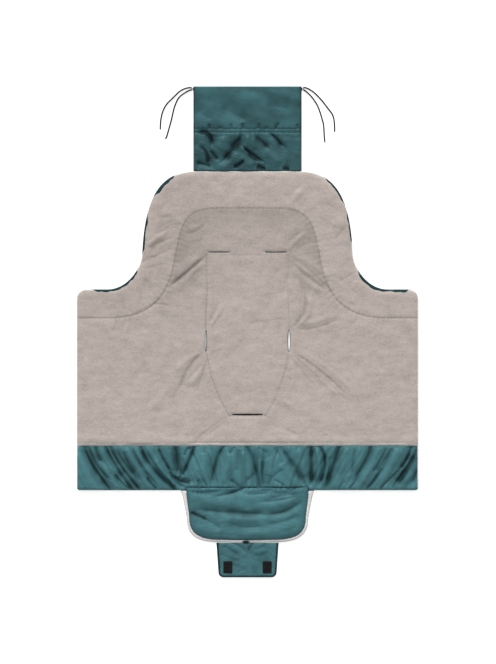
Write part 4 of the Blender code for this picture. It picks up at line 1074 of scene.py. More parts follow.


# Painted shade: how dark the folded cloth is, from 0 to 1, for the attribute its material darkens its colour
# by
def bandShade(places):
    x, y = places.T
    deep = foldShade(places, bandFolds, **band["folds"])
    deep *= 1 - bandDark["middle"] * smooth((0.17 - np.abs(x)) / 0.03)
    deep *= 1 - bandDark["right"] * smooth((x - 0.15) / 0.04)
    deep += bandDark["creases"] * bandCreases(places) + bandDark["streaks"] * bandStreaks(places)
    deep += beside(bandTopY - y, *bandDark["hem"])
    away = nearest(places, gatherSeam)[0]
    uneven = bandDark["seam"] + bandDark["seamUneven"] * noiseAt(places, 0.013, 18.0)
    return np.maximum(deep, bell(away, np.clip(uneven, 0.05, 1), bandDark["seamReach"]))


def fleeceShade(places):
    x, y = places.T
    away = nearest(places, borderSeam)[0]
    most = fleeceDark["besideSeam"] + fleeceDark["upper"] * smooth((y - 0.06) / 0.14)
    deep = bell(away, *fleeceDark["seam"])
    deep += beside(away, most, fleeceDark["reach"]) * inside(places, liningArea)
    deep += fleeceDark["left"] * smooth((-0.06 - x) / 0.12) * smooth((y - 0.02) / 0.10)
    for points, depth in quilting:
        away = nearest(places, points)[0]
        deep = np.maximum(deep, bell(away, fleeceDark["quilting"] * depth, fleeceDark["quiltReach"]))
    for folds in (liningFolds, borderFolds):
        deep += fleeceDark["folds"] * foldShade(places, folds, full=3.0, widest=5.5)
    return deep


def bodyShade(places):
    deep = np.zeros(len(places))
    onBand = places[:, 1] < bandTopY
    deep[onBand] = bandShade(places[onBand])
    deep[~onBand] = fleeceShade(places[~onBand])
    return np.clip(deep, 0, 1)


hem = {"level": 0.0090, "rise": 0.0026, "roll": 0.0016, "swells": ((0.0003, 0.012, 11.0),)}


def hemTop(places):
    share = np.clip((places[:, 1] - bandTopY) / (liningLowY - bandTopY), 0, 1)
    height = hem["level"] + hem["rise"] * share + hem["roll"] * np.sin(math.pi * share) ** 0.5
    return height + swells(places, hem["swells"])


# Height of the padded body's upper cloth, rim included
def bodyTop(places):
    away = nearest(places, bodyOutline, closed=True)[0]
    x, y = places.T
    height = np.zeros(len(places))
    for region, surface in (
        (y > liningLowY, fleeceTop),
        (y < bandTopY, bandTop),
        ((y <= liningLowY) & (y >= bandTopY), hemTop),
    ):
        if region.any():
            height[region] = surface(places[region])
    onFleece = smooth((y - bandTopY + 0.004) / 0.008)
    atFlap = smooth((0.1640 - np.abs(x)) / 0.012) * smooth((edgeY + 0.03 - y) / 0.01)
    atZip = smooth((np.abs(x) - channel["inner"] + 0.004) / 0.004)
    atZip *= smooth((y - channel["low"] + 0.003) / 0.003) * smooth((channel["high"] + 0.003 - y) / 0.003)
    low = seamZ + 0.0024 * atFlap + (channel["roof"] - seamZ) * atZip
    height = np.maximum(height, low + 0.0008)
    return rolled(height, low, away, band["rim"] + fleece["rim"] * onFleece)


# The loop pads lie under the wings, which are raised over them
loopPad = {
    "centre": (2 * foldX - 0.0512, edgeY + 0.1365 + 0.0637),
    "size": (0.040, 0.060),
    "levels": (0.0010, 0.0018),
    "bumps": 0.0018,
    "raised": 0.0015,  # height of the shell over it
}
shell = {
    "level": 0.0005,
    "swells": ((0.0004, 0.045, 21.0), (0.0003, 0.017, 23.0)),
    "quilting": (0.9, 0.0040),  # share of its depth, and reach
    "least": 0.0002,
    "rim": 0.0100,
}


# Height of the outer shell's cloth over the floor: nearly flat, drawn in at the quilting
def shellUnder(places):
    away = nearest(places, shellOutline, closed=True)[0]
    height = shell["level"] + swells(places, shell["swells"])
    fromPad = np.abs(np.abs(places * (1, 0)) + places * (0, 1) - loopPad["centre"])
    past = np.linalg.norm(np.maximum(fromPad - np.array(loopPad["size"]) / 2, 0), axis=1)
    height = np.maximum(height, loopPad["raised"] * smooth(1 - past / 0.006))
    for points, depth in quilting:
        height += depth * beside(nearest(places, points)[0], *shell["quilting"])
    return rolled(np.maximum(height, shell["least"]), seamZ, away, shell["rim"])


def byPart(middles):
    x = middles[:, 0]
    return {"back": np.abs(x) < foldX, "left": x < -foldX, "right": x > foldX}


def byRegion(middles):
    y = middles[:, 1]
    regions = {
        "lining": inside(middles, liningArea),
        "hem": (y < liningLowY) & (y > bandTopY),
        "foot_band": y < bandTopY,
    }
    regions["border"] = ~(regions["lining"] | regions["hem"] | regions["foot_band"])
    return regions


cloth = {
    "cell": ((0.0026, 0.0017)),  # on the fleece, and on the band
    "rings": (0.0004, 0.0013, 0.0028, 0.0048),
    "shellCell": 0.0040,
    "shellRings": (0.0003, 0.0010, 0.0024, 0.0044),
    "fill": 0.35,
    "finishes": {"lining": "fleece", "border": "fleece", "hem": "fleece_hem", "foot_band": "nylon"},
}
foldLines = [([(side * foldX, edgeY - 0.01), (side * foldX, hoodTopY)], False) for side in (-1, 1)]
hemLines = [([(-span / 2, y), (span / 2, y)], False) for y in (bandTopY, liningLowY)]
slotHoles = [slotLens(*values[:4], grow=0.0007) for values in slots.values()]
quiltLines = [(points, False) for points, depth in quilting]
seamPaths = [(borderSeam, False), (gatherSeam, False)] + foldLines + hemLines + quiltLines
cell, fineCell = cloth["cell"]
fine = (liningLowY, fineCell)
places, triangles = clothPlan(bodyOutline, cell, cloth["rings"], seamPaths, slotHoles, fine=fine)
topVertices = np.column_stack([places, bodyTop(places)])
topNormals = vertexNormals(topVertices, triangles)
# Painted shade of the padded body's upper cloth
topShade = bodyShade(places)
middles = places[triangles].mean(1)
regions = byRegion(middles)
for part, partMask in byPart(middles).items():
    for region, finish in cloth["finishes"].items():
        name = f"{part}_{region}_cloth"
        mesh = clothMesh(name, topVertices, triangles[partMask & regions[region]], topNormals, topShade)
        stands = [f"{part}_{region}"]
        if region == "lining":
            stands.append(f"{part}_wadding")
        if (part, region) == ("back", "foot_band"):
            stands.append("foot_elastic")
        addPiece(name, mesh, finish, part, stands)
print("stage: padded body", len(triangles))

shellPaths = foldLines + quiltLines
places, triangles = clothPlan(shellOutline, cloth["shellCell"], cloth["shellRings"], shellPaths, slotHoles)
triangles = triangles[:, ::-1]  # its faces look down
vertices = np.column_stack([places, shellUnder(places)])
normals = vertexNormals(vertices, triangles)
for part, mask in byPart(places[triangles].mean(1)).items():
    mesh = clothMesh(f"{part}_shell_cloth", vertices, triangles[mask], normals)
    addPiece(f"{part}_shell_cloth", mesh, "nylon", part, stands=[f"{part}_shell"])
edge, inner, roof = span / 2, channel["inner"], channel["roof"]
section = [(edge, roof), (edge - 0.0006, roof - 0.0003), (0.4390, roof - 0.0001)]
section += [(inner + 0.0006, roof), (inner, roof - 0.0008), (inner - 0.0001, 0.0044)]
for side, part in ((-1, "left"), (1, "right")):
    sections = [
        [(side * x, y, z + 0.0001 * noise.noise((y / 0.01, x * 300, 27.0))) for x, z in section]
        for y in np.arange(channel["low"] - 0.0015, channel["high"] + 0.0015, 0.0040)
    ]
    mesh = sweptMesh(f"{part}_zip_channel", sections, faces=-1)
    addPiece(f"{part}_zip_channel", mesh, "nylon", part)
print("stage: shell", len(triangles))

# A slot's bound edge: share of the lean and distance out, then height over the cloth's lip;
# its two feet stand on the shell
tapeSection = (
    (0.3, 0.0, -0.0040), (0.0, 0.0, -0.0012), (0.0, 0.0002, -0.0001), (0.0, 0.0006, 0.0005),
    (0.0, 0.0011, 0.0003), (0.0, 0.0014, -0.0006), (0.0, 0.0011, -0.0030),
)
tapeFoot = {"level": 0.0006, "thickness": 0.0008}
for name, (centre, halfLength, halfWidth, direction, lean) in slots.items():
    lens = slotLens(centre, halfLength, halfWidth, direction, steps=24)
    outwards = -inwards(lens)
    sections = []
    for point, out, top in zip(lens, outwards, bodyTop(lens + outwards * 0.0018)):
        foot = point + np.array(lean)
        section = [(*foot, tapeFoot["level"])]
        for share, past, up in tapeSection:
            section.append((*(point + share * np.array(lean) + past * out), top + up))
        section.append((*(foot + out * tapeFoot["thickness"]), tapeFoot["level"]))
        sections.append(section)
    mesh = sweptMesh(name + "_tape", sections, closedPath=True)
    finish = "binding" if name.startswith("shoulder") else "binding_dark"
    addPiece(name + "_tape", mesh, finish, "back", [name])
print("stage: slots")


# A strip that lies over the body's rim, between two distances from the outline
def rimStrip(name, path, inner, outer, lift, finish, part, taper=0.0, wobble=0.0):
    path = spaced(path, 0.0030)
    normals = rightOf(path)
    normals[~inside(path + normals * 0.004, bodyOutline)] *= -1
    share = np.linspace(0, 1, len(path))
    width = smooth(np.minimum(share, 1 - share) / taper) if taper else np.ones(len(path))
    width *= 1 + wobble * noiseAt(path, 0.013, 31.0)
    steps = np.linspace(0, 1, 7)
    reach = outer + (inner - outer) * steps * width[:, None]
    points = path[:, None] + normals[:, None] * reach[..., None]
    swell = np.sin(math.pi * np.clip(steps * 0.9 + 0.1, 0, 1))
    height = bodyTop(points.reshape(-1, 2)).reshape(reach.shape)
    height += lift * swell * (0.3 + 0.7 * width[:, None])
    height[:, 0] -= 0.4 * lift
    height[:, -1] -= 0.6 * lift
    mesh = sweptMesh(name, np.concatenate([points, height[..., None]], axis=2), faces=1)
    addPiece(name, mesh, finish, part)


# The body's right half outline between two heights, from the top down
def outlineRun(low, high, least=0.0, most=1.0):
    run = spaced(bodyOutline[bodyOutline[:, 0] > 0], 0.002)
    x, y = run.T
    return run[(y <= high) & (y >= low) & (x > least) & (x <= most)]


wingRun = outlineRun(edgeY + 0.004, 0.30, least=foldX + 0.0005)
hoodRun = outlineRun(wingTopY - 0.001, hoodTopY, most=foldX + 0.0005)
hoodRun = np.concatenate([[(0.0, hoodTopY)], hoodRun])
wholeHood = np.concatenate([hoodRun[::-1], hoodRun[1:] * (-1, 1)])
for side, part in ((-1, "left"), (1, "right")):
    rimStrip(f"{part}_fleece_edge", wingRun * (side, 1), 0.0027, 0.0, 0.0006, "fleece_edge", part)
rimStrip("back_fleece_edge", wholeHood, 0.0025, 0.0, 0.0005, "fleece_edge", "back")

# Where the shell shows past the fleece: part, lowest and highest Y, least and most X from the
# middle, width, share that tapers, unevenness
slivers = {
    "left_shoulder": ("left", 0.349, 0.410, 0.15, 1.0, 0.0088, 0.22, 0.45),
    "left_side": ("left", 0.196, 0.310, 0.15, 1.0, 0.0058, 0.18, 0.45),
    "right_shoulder": ("right", 0.326, 0.404, 0.15, 1.0, 0.0050, 0.20, 0.45),
    "right_side": ("right", 0.220, 0.318, 0.15, 1.0, 0.0044, 0.25, 0.45),
    "left_armpit": ("left", wingTopY - 0.002, 0.170, 0.280, 0.414, 0.0066, 0.16, 0.5),
    "right_armpit": ("right", wingTopY - 0.002, 0.170, 0.274, 0.430, 0.0078, 0.16, 0.5),
}
# The slivers take the dark nylon: painted shade on the shell where it shows past the fleece
for name, (part, low, high, least, most, width, taper, wobble) in slivers.items():
    run = outlineRun(low, high, least, most) * (-1 if part == "left" else 1, 1)
    rimStrip(f"{name}_shell_edge", run, width, -0.0004, 0.0010, "nylon_dark", part, taper, wobble)
print("stage: rims")

flapFolds = (
    (-83, -428, -46, -420, -1, -402, 4, -7),
    (-138, -419, -101, -417, -53, -412, 5, -3),
    (-12, -420, 25, -422, 62, -416, 5, -2.4),
    (32, -411, 47, -412, 70, -408, 4, -3),
    (99, -411, 118, -409, 140, -406, 4, -3),
    (-153, -412, -127, -420, -92, -423, 5, -2.6),
    (47, -438, 84, -427, 140, -420, 5, -2.8),
    (62, -418, 92, -420, 122, -414, 4, -2.2),
    (-135, -461, -27, -472, 55, -475, 11, -4),
    (47, -475, 99, -466, 142, -441, 7, -4.2),
    (-64, -466, -12, -472, 47, -472, 5, -2.6),
    (25, -440, 77, -439, 129, -427, 4, -2.4),
    (-153, -469, -131, -477, -103, -491, 4.5, -6),
    (-109, -489, -90, -498, -68, -511, 7, -2.6),
    (-53, -493, -5, -508, 47, -501, 9, -2.6),
    (44, -501, 92, -493, 133, -475, 8, -2.4),
    (-138, -444, -64, -448, 3, -452, 12, 2.6),
    (-1, -452, 62, -454, 129, -433, 10, 2.4),
    (-79, -484, -12, -490, 62, -487, 10, 2.8),
    (62, -487, 107, -480, 140, -461, 8, 2.2),
    (-135, -500, -109, -515, -64, -526, 10, 2),
    (-20, -522, 47, -522, 122, -507, 11, 2),
    (84, -518, 107, -515, 129, -504, 6, -1.8),
    (-86, -526, -42, -528, 3, -534, 7, -1.6),
)
flap = {
    "half": 0.1672,
    "narrowing": 0.95,
    "ear": 0.0062,  # by which the backing flares at the body's edge
    "rim": 0.0062,  # of fleece round the nylon
    "seamY": -0.4056,
    "level": 0.0150,
    "swell": 0.0016,
    "swells": ((0.0006, 0.017, 47.0),),
    "puff": 0.0030,
    "pucker": 0.0007,  # at the body's edge
    "waves": (0.0115, 3.0, 0.03, 49.0),
    "creases": 0.0005,
    "thinnest": 0.0088,
    "cell": 0.0022,
    "rings": (0.0004, 0.0013, 0.0028, 0.0050, 0.0080),
}
backing = {
    "top": 0.0078,
    "sunk": 0.0030,  # by which its top is lower than that at the rim's seam
    "seam": 0.0022,
    "roll": 0.0010,
    "topRim": 0.0050,
    "lowRim": 0.0080,
}


# Right half of the flap, from its top edge to the middle of its lower edge
def flapHalf(inset=0.0, top=edgeY, flare=0.0):
    wide = flap["half"] - inset
    narrow = flap["half"] * flap["narrowing"] - inset
    low = (0.0880 - inset, flapEndY + 0.0016 + inset)
    turn = curveBetween((narrow, (edgeY + flapEndY) / 2), low, ((-0.01, 0.56), (0.20, 0.96)), 14)
    ear = [(wide + flare, top), (wide + 0.4 * flare, top - 0.0125)] if flare else [(wide, top)]
    return np.concatenate([ear, turn, [(0.0, flapEndY + inset)]])


def backingTop(places, away):
    height = backing["top"] + 0.0005 * noiseAt(places, 0.02, 41.0)
    inner = np.exp(-np.maximum(away - 0.0085, 0) / 0.004)  # it sinks where the nylon lies on it
    rise = backing["roll"] + (height - backing["sunk"]) * inner
    return backing["seam"] + rise * roundRim(away, backing["topRim"])


def backingLow(places, away):
    height = 0.0006 + 0.0004 * noiseAt(places, 0.04, 43.0)
    return rolled(np.maximum(height, 0.0002), backing["seam"], away, backing["lowRim"])


def flapCreases(places):
    x, y = places.T
    return creasesAlong(y + 0.12 * x**2 / 0.16, x, 0.0130, 0.0700, 14.0)


# Height of the stuffed nylon; past its seam it laps on the foot band
def flapTop(places, away):
    x, y = places.T
    height = flap["level"] + flap["swell"] * noiseAt(places * (0.5, 1.0), 0.035, 45.0)
    height += swells(places, flap["swells"]) + foldHeight(places, flapFolds, past=0.05)
    height += flap["puff"] * puffBetween(places, flapFolds, 0.018) - 0.0014
    height += flap["pucker"] * puckers(places, x, *flap["waves"]) * smooth((y - edgeY + 0.018) / 0.018)
    height -= flap["creases"] * flapCreases(places) + 0.0018 * smooth((y - edgeY + 0.022) / 0.022)
    height = keptAbove(height, flap["thinnest"], 0.0008)
    fromFree = nearest(places, freeFlapEdge)[0]
    low = 0.0056 + 0.0030 * smooth((fromFree - 0.002) / 0.008) * smooth((y - edgeY + 0.004) / 0.008)
    height = low + (height - low) * roundRim(fromFree, 0.022) * roundRim(flap["seamY"] - y, 0.0060)
    over = (y > edgeY - 0.006) & (fromFree > 0.0005)
    lap = smooth((flap["seamY"] - 0.0008 - y[over]) / 0.0030) * smooth(fromFree[over] / 0.004)
    height[over] = np.maximum(height[over], bodyTop(places[over]) + 0.0010 * lap - 0.0004)
    return height


def flapLow(places, away):
    raised = smooth((places[:, 1] - edgeY + 0.004) / 0.008)
    return 0.0056 + (0.0026 * raised - 0.0020 * (1 - raised)) * roundRim(away, 0.0060)


# Painted shade on the flap: overall, in its folds and creases, along its rolled edge, and unevenly next to
# its seam
flapDark = {
    "all": 0.06,
    "folds": 0.82,
    "creases": 0.07,
    "edge": (0.5, 0.0024),
    "rim": (0.22, 0.014),
    "seam": (0.30, 0.006),
    "seamUneven": (0.5, 1.2),
}


def flapShade(places):
    folds = foldShade(places, flapFolds, past=0.05)
    deep = flapDark["all"] + flapDark["folds"] * folds + flapDark["creases"] * flapCreases(places)
    away = nearest(places, freeFlapEdge)[0]
    deep += beside(away, *flapDark["edge"]) + beside(away, *flapDark["rim"])
    share, uneven = flapDark["seamUneven"]
    atSeam = beside(flap["seamY"] - places[:, 1], *flapDark["seam"])
    deep += atSeam * (share + uneven * noiseAt(places, 0.012, 19.0))
    return np.clip(deep, 0, 1)


nylonHalf = flapHalf(flap["rim"], flap["seamY"])
freeFlapEdge = np.concatenate([nylonHalf, nylonHalf[::-1] * (-1, 1)])
outline = bothSides(flapHalf(flare=flap["ear"]))
mesh = closedPillow("foot_flap_backing", outline, flap["cell"], flap["rings"], backingTop, backingLow)
addPiece("foot_flap_backing", mesh, "fleece_edge", "flap", stands=["flap_backing"])
outline = bothSides(nylonHalf)
mesh = closedPillow(
    "foot_flap_cloth", outline, flap["cell"], flap["rings"], flapTop, flapLow, paintedShadeFrom=flapShade
)
addPiece("foot_flap_cloth", mesh, "nylon", "flap", stands=["flap_shell", "flap_wadding"])

# The little tack of nylon in the middle of the flap's lower edge
tack = {"centre": (-0.0040, -0.5462), "radii": (0.0105, 0.0034), "level": 0.0070, "cell": 0.0012}


def tackTop(places, away):
    return tack["level"] + (0.0016 + 0.0006 * noiseAt(places, 0.003, 46.0)) * roundRim(away, 0.0025)


def tackLow(places, away):
    return tack["level"] - 0.0040 * roundRim(away, 0.0025)


turns = np.linspace(0, 2 * math.pi, 24, endpoint=False)
outline = np.array(tack["centre"]) + np.stack([np.cos(turns), np.sin(turns)], 1) * tack["radii"]
mesh = closedPillow("flap_tack", outline, tack["cell"], (0.0003, 0.0009), tackTop, tackLow)
addPiece("flap_tack", mesh, "nylon_dark", "foot_flap")
print("stage: foot flap")

tabFolds = (
    (-49, -547, -18, -559, -2, -578, 4, -2),
    (0, -578, 6, -561, 20, -547, 3, -2),
    (-70, -554, -40, -569, -18, -588, 5, -1.6),
    (13, -567, 34, -561, 52, -547, 4, -1.4),
    (-80, -578, -54, -585, -11, -602, 5, -1.2),
    (6, -585, 41, -578, 64, -561, 6, -1.2),
    (-63, -602, -28, -609, 6, -628, 6, -1),
    (33, -595, 50, -602, 69, -619, 5, -1),
    (-42, -561, -18, -573, -7, -590, 6, 1.2),
    (-28, -595, -2, -611, 24, -606, 8, 1.2),
    (24, -578, 50, -571, 69, -573, 6, 1),
    (-75, -585, -70, -602, -73, -623, 5, -0.8),
)
tab = {
    "half": 0.0806,
    "narrowing": 0.0052,
    "corner": 0.0130,
    "level": 0.0060,
    "swells": ((0.0006, 0.030, 51.0), (0.0002, 0.011, 53.0)),
    "creases": 0.0004,
    "seam": 0.0030,
    "rim": 0.0060,
    "cell": 0.0022,
    "rings": (0.0004, 0.0012, 0.0026, 0.0044),
}
tabBinding = {"inset": 0.0014, "out": 0.0012, "level": 0.0034, "across": 0.0030, "up": 0.0031, "uneven": 0.12}
# Touch fastener, in metres and then in shares of its height and of the pitch of its bumps
patch = {
    "rounded": 0.002,
    "inset": 0.0012,
    "dent": 0.0003,
    "weave": 0.6,  # of the height
    "pile": 0.2,
    "ball": 0.42,  # of the pitch
    "lean": 0.3,
}
hookPad = {
    "centre": (0.0512, flapEndY - 0.0637),
    "size": (0.0234, 0.0312),
    "levels": (0.0052, 0.0080),
    "bumps": 0.0014,
}


def tabHalf(inset=0.0):
    wide = tab["half"] - inset
    narrow = wide - tab["narrowing"]
    corner = tab["corner"] - inset
    arc = cornerArc((narrow - corner, tabEndY + inset + corner), corner, 0, -90)
    return np.concatenate([[(wide, flapEndY)], arc, [(0.0, tabEndY + inset)]])


def tabCreases(places):
    x, y = places.T
    return creasesAlong(y + 0.5 * np.abs(x), x, 0.0120, 0.0400, 15.0)


def tabTop(places, away):
    height = tab["level"] + swells(places, tab["swells"])
    height += foldHeight(places, tabFolds) - tab["creases"] * tabCreases(places)
    return rolled(height, tab["seam"], away, tab["rim"])


def tabLow(places, away):
    height = 0.0005 + 0.0004 * noiseAt(places, 0.025, 55.0)
    return rolled(np.maximum(height, 0.0001), tab["seam"], away, tab["rim"])


# Painted shade on the tab: overall, in its creases and folds, and along its sides
tabDark = {"all": 0.14, "creases": 0.20, "sides": (0.4, 0.0030), "sideX": 0.0780}


def tabShade(places):
    deep = tabDark["all"] + tabDark["creases"] * tabCreases(places) + foldShade(places, tabFolds, full=3.6)
    return np.clip(deep + beside(tabDark["sideX"] - np.abs(places[:, 0]), *tabDark["sides"]), 0, 1)


outline = bothSides(tabHalf(0.0012))
mesh = closedPillow(
    "closure_tab_cloth", outline, tab["cell"], tab["rings"], tabTop, tabLow, paintedShadeFrom=tabShade
)
addPiece("closure_tab_cloth", mesh, "nylon", "tab", stands=["tab_panel"])

half = tabHalf(tabBinding["inset"])
path = spaced(np.concatenate([half, half[::-1][1:] * (-1, 1)]), 0.0030)
hemTurns = np.radians(np.arange(0, 360, 30))
sections = []
for point, normal in zip(path, rightOf(path)):
    swell = 1 + tabBinding["uneven"] * noise.noise((point[0] / 0.006, point[1] / 0.006, 61.0))
    centre = (*(point + tabBinding["out"] * normal), tabBinding["level"])
    across = (*(tabBinding["across"] * normal), 0)
    sections.append(ringAt(centre, across, (0, 0, tabBinding["up"] * swell), hemTurns))
mesh = sweptMesh("closure_tab_edge", sections)
addPiece("closure_tab_edge", mesh, "nylon_dark", "tab", stands=["tab_binding"])


# A touch fastener patch: a woven base with rounded corners and rows of hooks or loops
def patchPiece(name, side, pad, finish, body, stands, down=False):
    centre = np.array(pad["centre"]) * (side, 1)
    low, high = pad["levels"]
    base = patch["weave"] * (high - low)
    rounded = patch["rounded"]
    x, y = np.array(pad["size"]) / 2 - rounded
    outline = np.concatenate([
        cornerArc((centre[0] + a * x, centre[1] + b * y), rounded, turn, turn + 90, 4)
        for a, b, turn in ((1, 1, 0), (-1, 1, 90), (-1, -1, 180), (1, -1, 270))
    ])
    bm = bmesh.new()
    face = bm.faces.new([bm.verts.new((px, py, low)) for px, py in outline])
    made = bmesh.ops.extrude_face_region(bm, geom=[face])["geom"]
    lifted = [g for g in made if isinstance(g, bmesh.types.BMVert)]
    bmesh.ops.translate(bm, verts=lifted, vec=(0, 0, base))
    bmesh.ops.recalc_face_normals(bm, faces=bm.faces[:])
    tops = [f for f in bm.faces if abs(f.normal.z) > 0.9 and (f.normal.z < 0) == down]
    bmesh.ops.inset_region(bm, faces=tops, thickness=patch["inset"], depth=patch["dent"])
    pile = patch["pile"] * (high - low)
    level = low - pile if down else low + base + pile
    bump = pad["bumps"]
    ball = bmesh.new()
    bmesh.ops.create_icosphere(ball, subdivisions=1, radius=patch["ball"] * bump)
    places = []
    for px, py in hexLattice(centre - (x, y), centre + (x, y), bump):
        lean = patch["lean"] * bump * noise.noise((px * 900, py * 900, 0))
        places.append(Matrix.Translation((px + lean, py - lean, level)))
    addCopies(bm, meshFrom("ball", ball), places)
    addPiece(name, meshFrom(name, bm, 50), finish, body, stands=stands)


sides = ((-1, "left"), (1, "right"))
for side, name in sides:
    patchPiece(f"{name}_hook_pad", side, hookPad, "hook", "closure_tab", [f"hook_patch_{name}"])
for side, name in sides:
    patchPiece(f"{name}_loop_pad", side, loopPad, "loop", f"{name}_wing", [f"{name}_loop_patch"], down=True)
print("stage: closure tab")

headFolds = (
    (-18, 521, -27, 489, -70, 439, 6.5, -9),
    (-20, 502, -29, 486, -44, 472, 9, -6),
    (-17, 486, 10, 463, 46, 438, 4, -8),
    (1, 467, 14, 455, 32, 445, 6, -5),
    (-134, 518, -101, 513, -94, 480, 4.5, -7.5),
    (56, 519, 75, 502, 96, 479, 4, -6),
    (-38, 425, -22, 435, -6, 448, 4.5, -6.5),
    (23, 432, 35, 426, 48, 422, 6, -5),
    (90, 427, 100, 423, 110, 422, 6, -4.5),
    (-99, 474, -88, 461, -74, 445, 4, -4.5),
    (14, 513, 35, 497, 57, 474, 9, -4.2),
    (-129, 487, -105, 461, -109, 430, 7, -5),
    (-137, 440, -118, 436, -92, 430, 9, -5),
    (-62, 511, -65, 492, -79, 472, 12, 3.4),
    (-4, 515, -2, 492, -17, 466, 9, 5),
    (29, 511, 16, 492, 22, 472, 9, 3.2),
    (-23, 453, -4, 443, 22, 430, 9, 3.4),
    (42, 472, 68, 453, 87, 430, 12, 3.6),
    (-121, 502, -114, 479, -95, 447, 8, 2.6),
    (-82, 434, -56, 430, -33, 443, 9, 2.6),
    (100, 511, 107, 479, 100, 447, 10, 2),
    (-100, 526, -99, 533, -101, 542, 4, -3),
    (-43, 526, -42, 534, -44, 543, 4, -3),
    (-13, 526, -12, 533, -15, 544, 5, -3.8),
    (29, 526, 29, 534, 32, 544, 4, -3),
    (70, 526, 77, 536, 81, 546, 4, -3.4),
    (131, 526, 131, 532, 128, 541, 4, -3),
    (-69, 526, -71, 531, -72, 536, 4, -2),
    (48, 526, 50, 531, 51, 536, 4, -2),
    (-72, 586, -36, 567, 3, 547, 16, -4.6),
    (-95, 612, -30, 619, 42, 596, 18, 3.6),
    (42, 580, 74, 586, 120, 573, 16, -3),
    (48, 616, 81, 622, 120, 612, 16, 1.8),
    (-134, 580, -108, 560, -82, 554, 12, -3.2),
    (9, 564, 42, 554, 68, 560, 14, 2),
)
head = {
    "half": 0.1392,
    "under": 0.007,  # by which it reaches under the hood
    "level": 0.0072,
    "lower": 0.0020,  # more below the stitch rows, where the cloth is loose
    "upper": 0.0004,
    "puff": 0.0030,
    "rowPucker": (0.0005, 0.008),  # beside the stitch rows: height and reach
    "waves": (0.0125, 3.0, 0.03, 75.0),
    "rowValley": (0.0008, 0.0016),
    "thinnest": 0.0016,
    "seam": 0.0010,
    "rim": 0.0030,
    "rows": (0.5290, 0.5194),
    "cell": 0.0018,
    "rings": (0.0004, 0.0012, 0.0026),
}
sideHem = {
    "middle": 0.1388,
    "across": 0.0021,
    "up": 0.0022,
    "uneven": 0.0003,
    "level": 0.0026,
    "step": 0.0034,
}


def headCreases(places):
    x, y = places.T
    return creasesAlong(y + 0.45 * x, x - 0.45 * y, 0.0170, 0.0500, 16.0)


def belowRows(places):
    return smooth((0.5200 - places[:, 1]) / 0.006)


def headTop(places, away):
    x, y = places.T
    lower = belowRows(places)
    height = head["level"] + head["lower"] * lower + head["upper"] * smooth((y - 0.5290) / 0.006)
    height += 0.0012 * noiseAt(places, 0.070, 71.0) + (0.0004 + 0.0010 * lower) * noiseAt(places, 0.024, 73.0)
    height += foldHeight(places, headFolds) + head["puff"] * lower * puffBetween(places, headFolds, 0.016)
    waves = puckers(places, x, *head["waves"])
    for row in head["rows"]:
        fromRow = np.abs(y - row)
        height += beside(fromRow, *head["rowPucker"]) * waves - beside(fromRow, *head["rowValley"])
    tucked = smooth((hoodTopY + 0.003 - y) / 0.006)
    height = height * (1 - 0.60 * tucked) - (0.0002 + 0.0004 * lower) * headCreases(places)
    return rolled(keptAbove(height, head["thinnest"], 0.0008), head["seam"], away, head["rim"])


def headLow(places, away):
    return head["seam"] - 0.0007 * roundRim(away, head["rim"])


# Painted shade on the head panel: overall and more below the stitch rows, in its creases and folds, along its
# sides, in broad soft patches, and along the rows' grooves
headDark = {
    "all": 0.04,
    "lower": 0.14,  # more below the stitch rows
    "creases": 0.05,
    "lowerCreases": 0.07,
    "sides": (0.35, 0.0040),
    "clouds": 0.20,
    "mottle": ((0.14, 0.020, 79.0),),
    "upper": 0.08,  # more above the rows, in slanting clouds
    "slanted": ((0.34, 0.026, 81.0),),
    "rows": (0.85, 0.0019),
}


def headShade(places):
    x, y = places.T
    lower = belowRows(places)
    deep = foldShade(places, headFolds, widest=10) + headDark["all"] + headDark["lower"] * lower
    deep += (headDark["creases"] + headDark["lowerCreases"] * lower) * headCreases(places)
    deep += beside(head["half"] - np.abs(x), *headDark["sides"]) + swells(places, headDark["mottle"])
    deep += headDark["clouds"] * smooth(0.5 + noiseAt(places, 0.060, 78.0))
    slanted = np.column_stack([0.42 * x + 0.20 * y, y])
    deep += (headDark["upper"] + swells(slanted, headDark["slanted"])) * (1 - lower)
    for row in head["rows"]:
        deep = np.maximum(deep, bell(y - row, *headDark["rows"]))
    return np.clip(deep, 0, 1)


headSide = np.array([(head["half"], hoodTopY - head["under"]), (head["half"], headTopY)])
headOutline = np.concatenate([headSide, headSide[::-1] * (-1, 1)])
rowPaths = [([(-head["half"], y), (head["half"], y)], False) for y in head["rows"]]
mesh = closedPillow(
    "head_panel_cloth", headOutline, head["cell"], head["rings"], headTop, headLow, rowPaths, headShade
)
stands = ["head_panel", "head_facing"]
piece = addPiece("head_panel_cloth", mesh, "nylon_head", "head", stands)
for side, name in sides:
    sections = []
    for y in np.arange(hoodTopY - 0.004, headTopY + 0.0001, sideHem["step"]):
        middle = side * (sideHem["middle"] + sideHem["uneven"] * noise.noise((y / 0.03, side, 77.0)))
        thick = sideHem["up"] + sideHem["uneven"] * noise.noise((y / 0.009, side, 79.0))
        across = (sideHem["across"], 0, 0)
        sections.append(ringAt((middle, y, sideHem["level"]), across, (0, 0, thick), hemTurns))
    mesh = sweptMesh(f"{name}_side_hem", sections)
    addPiece(f"{name}_side_hem", mesh, "nylon_dark", "head", stands=[f"head_hem_{name}"])
print("stage: head panel")

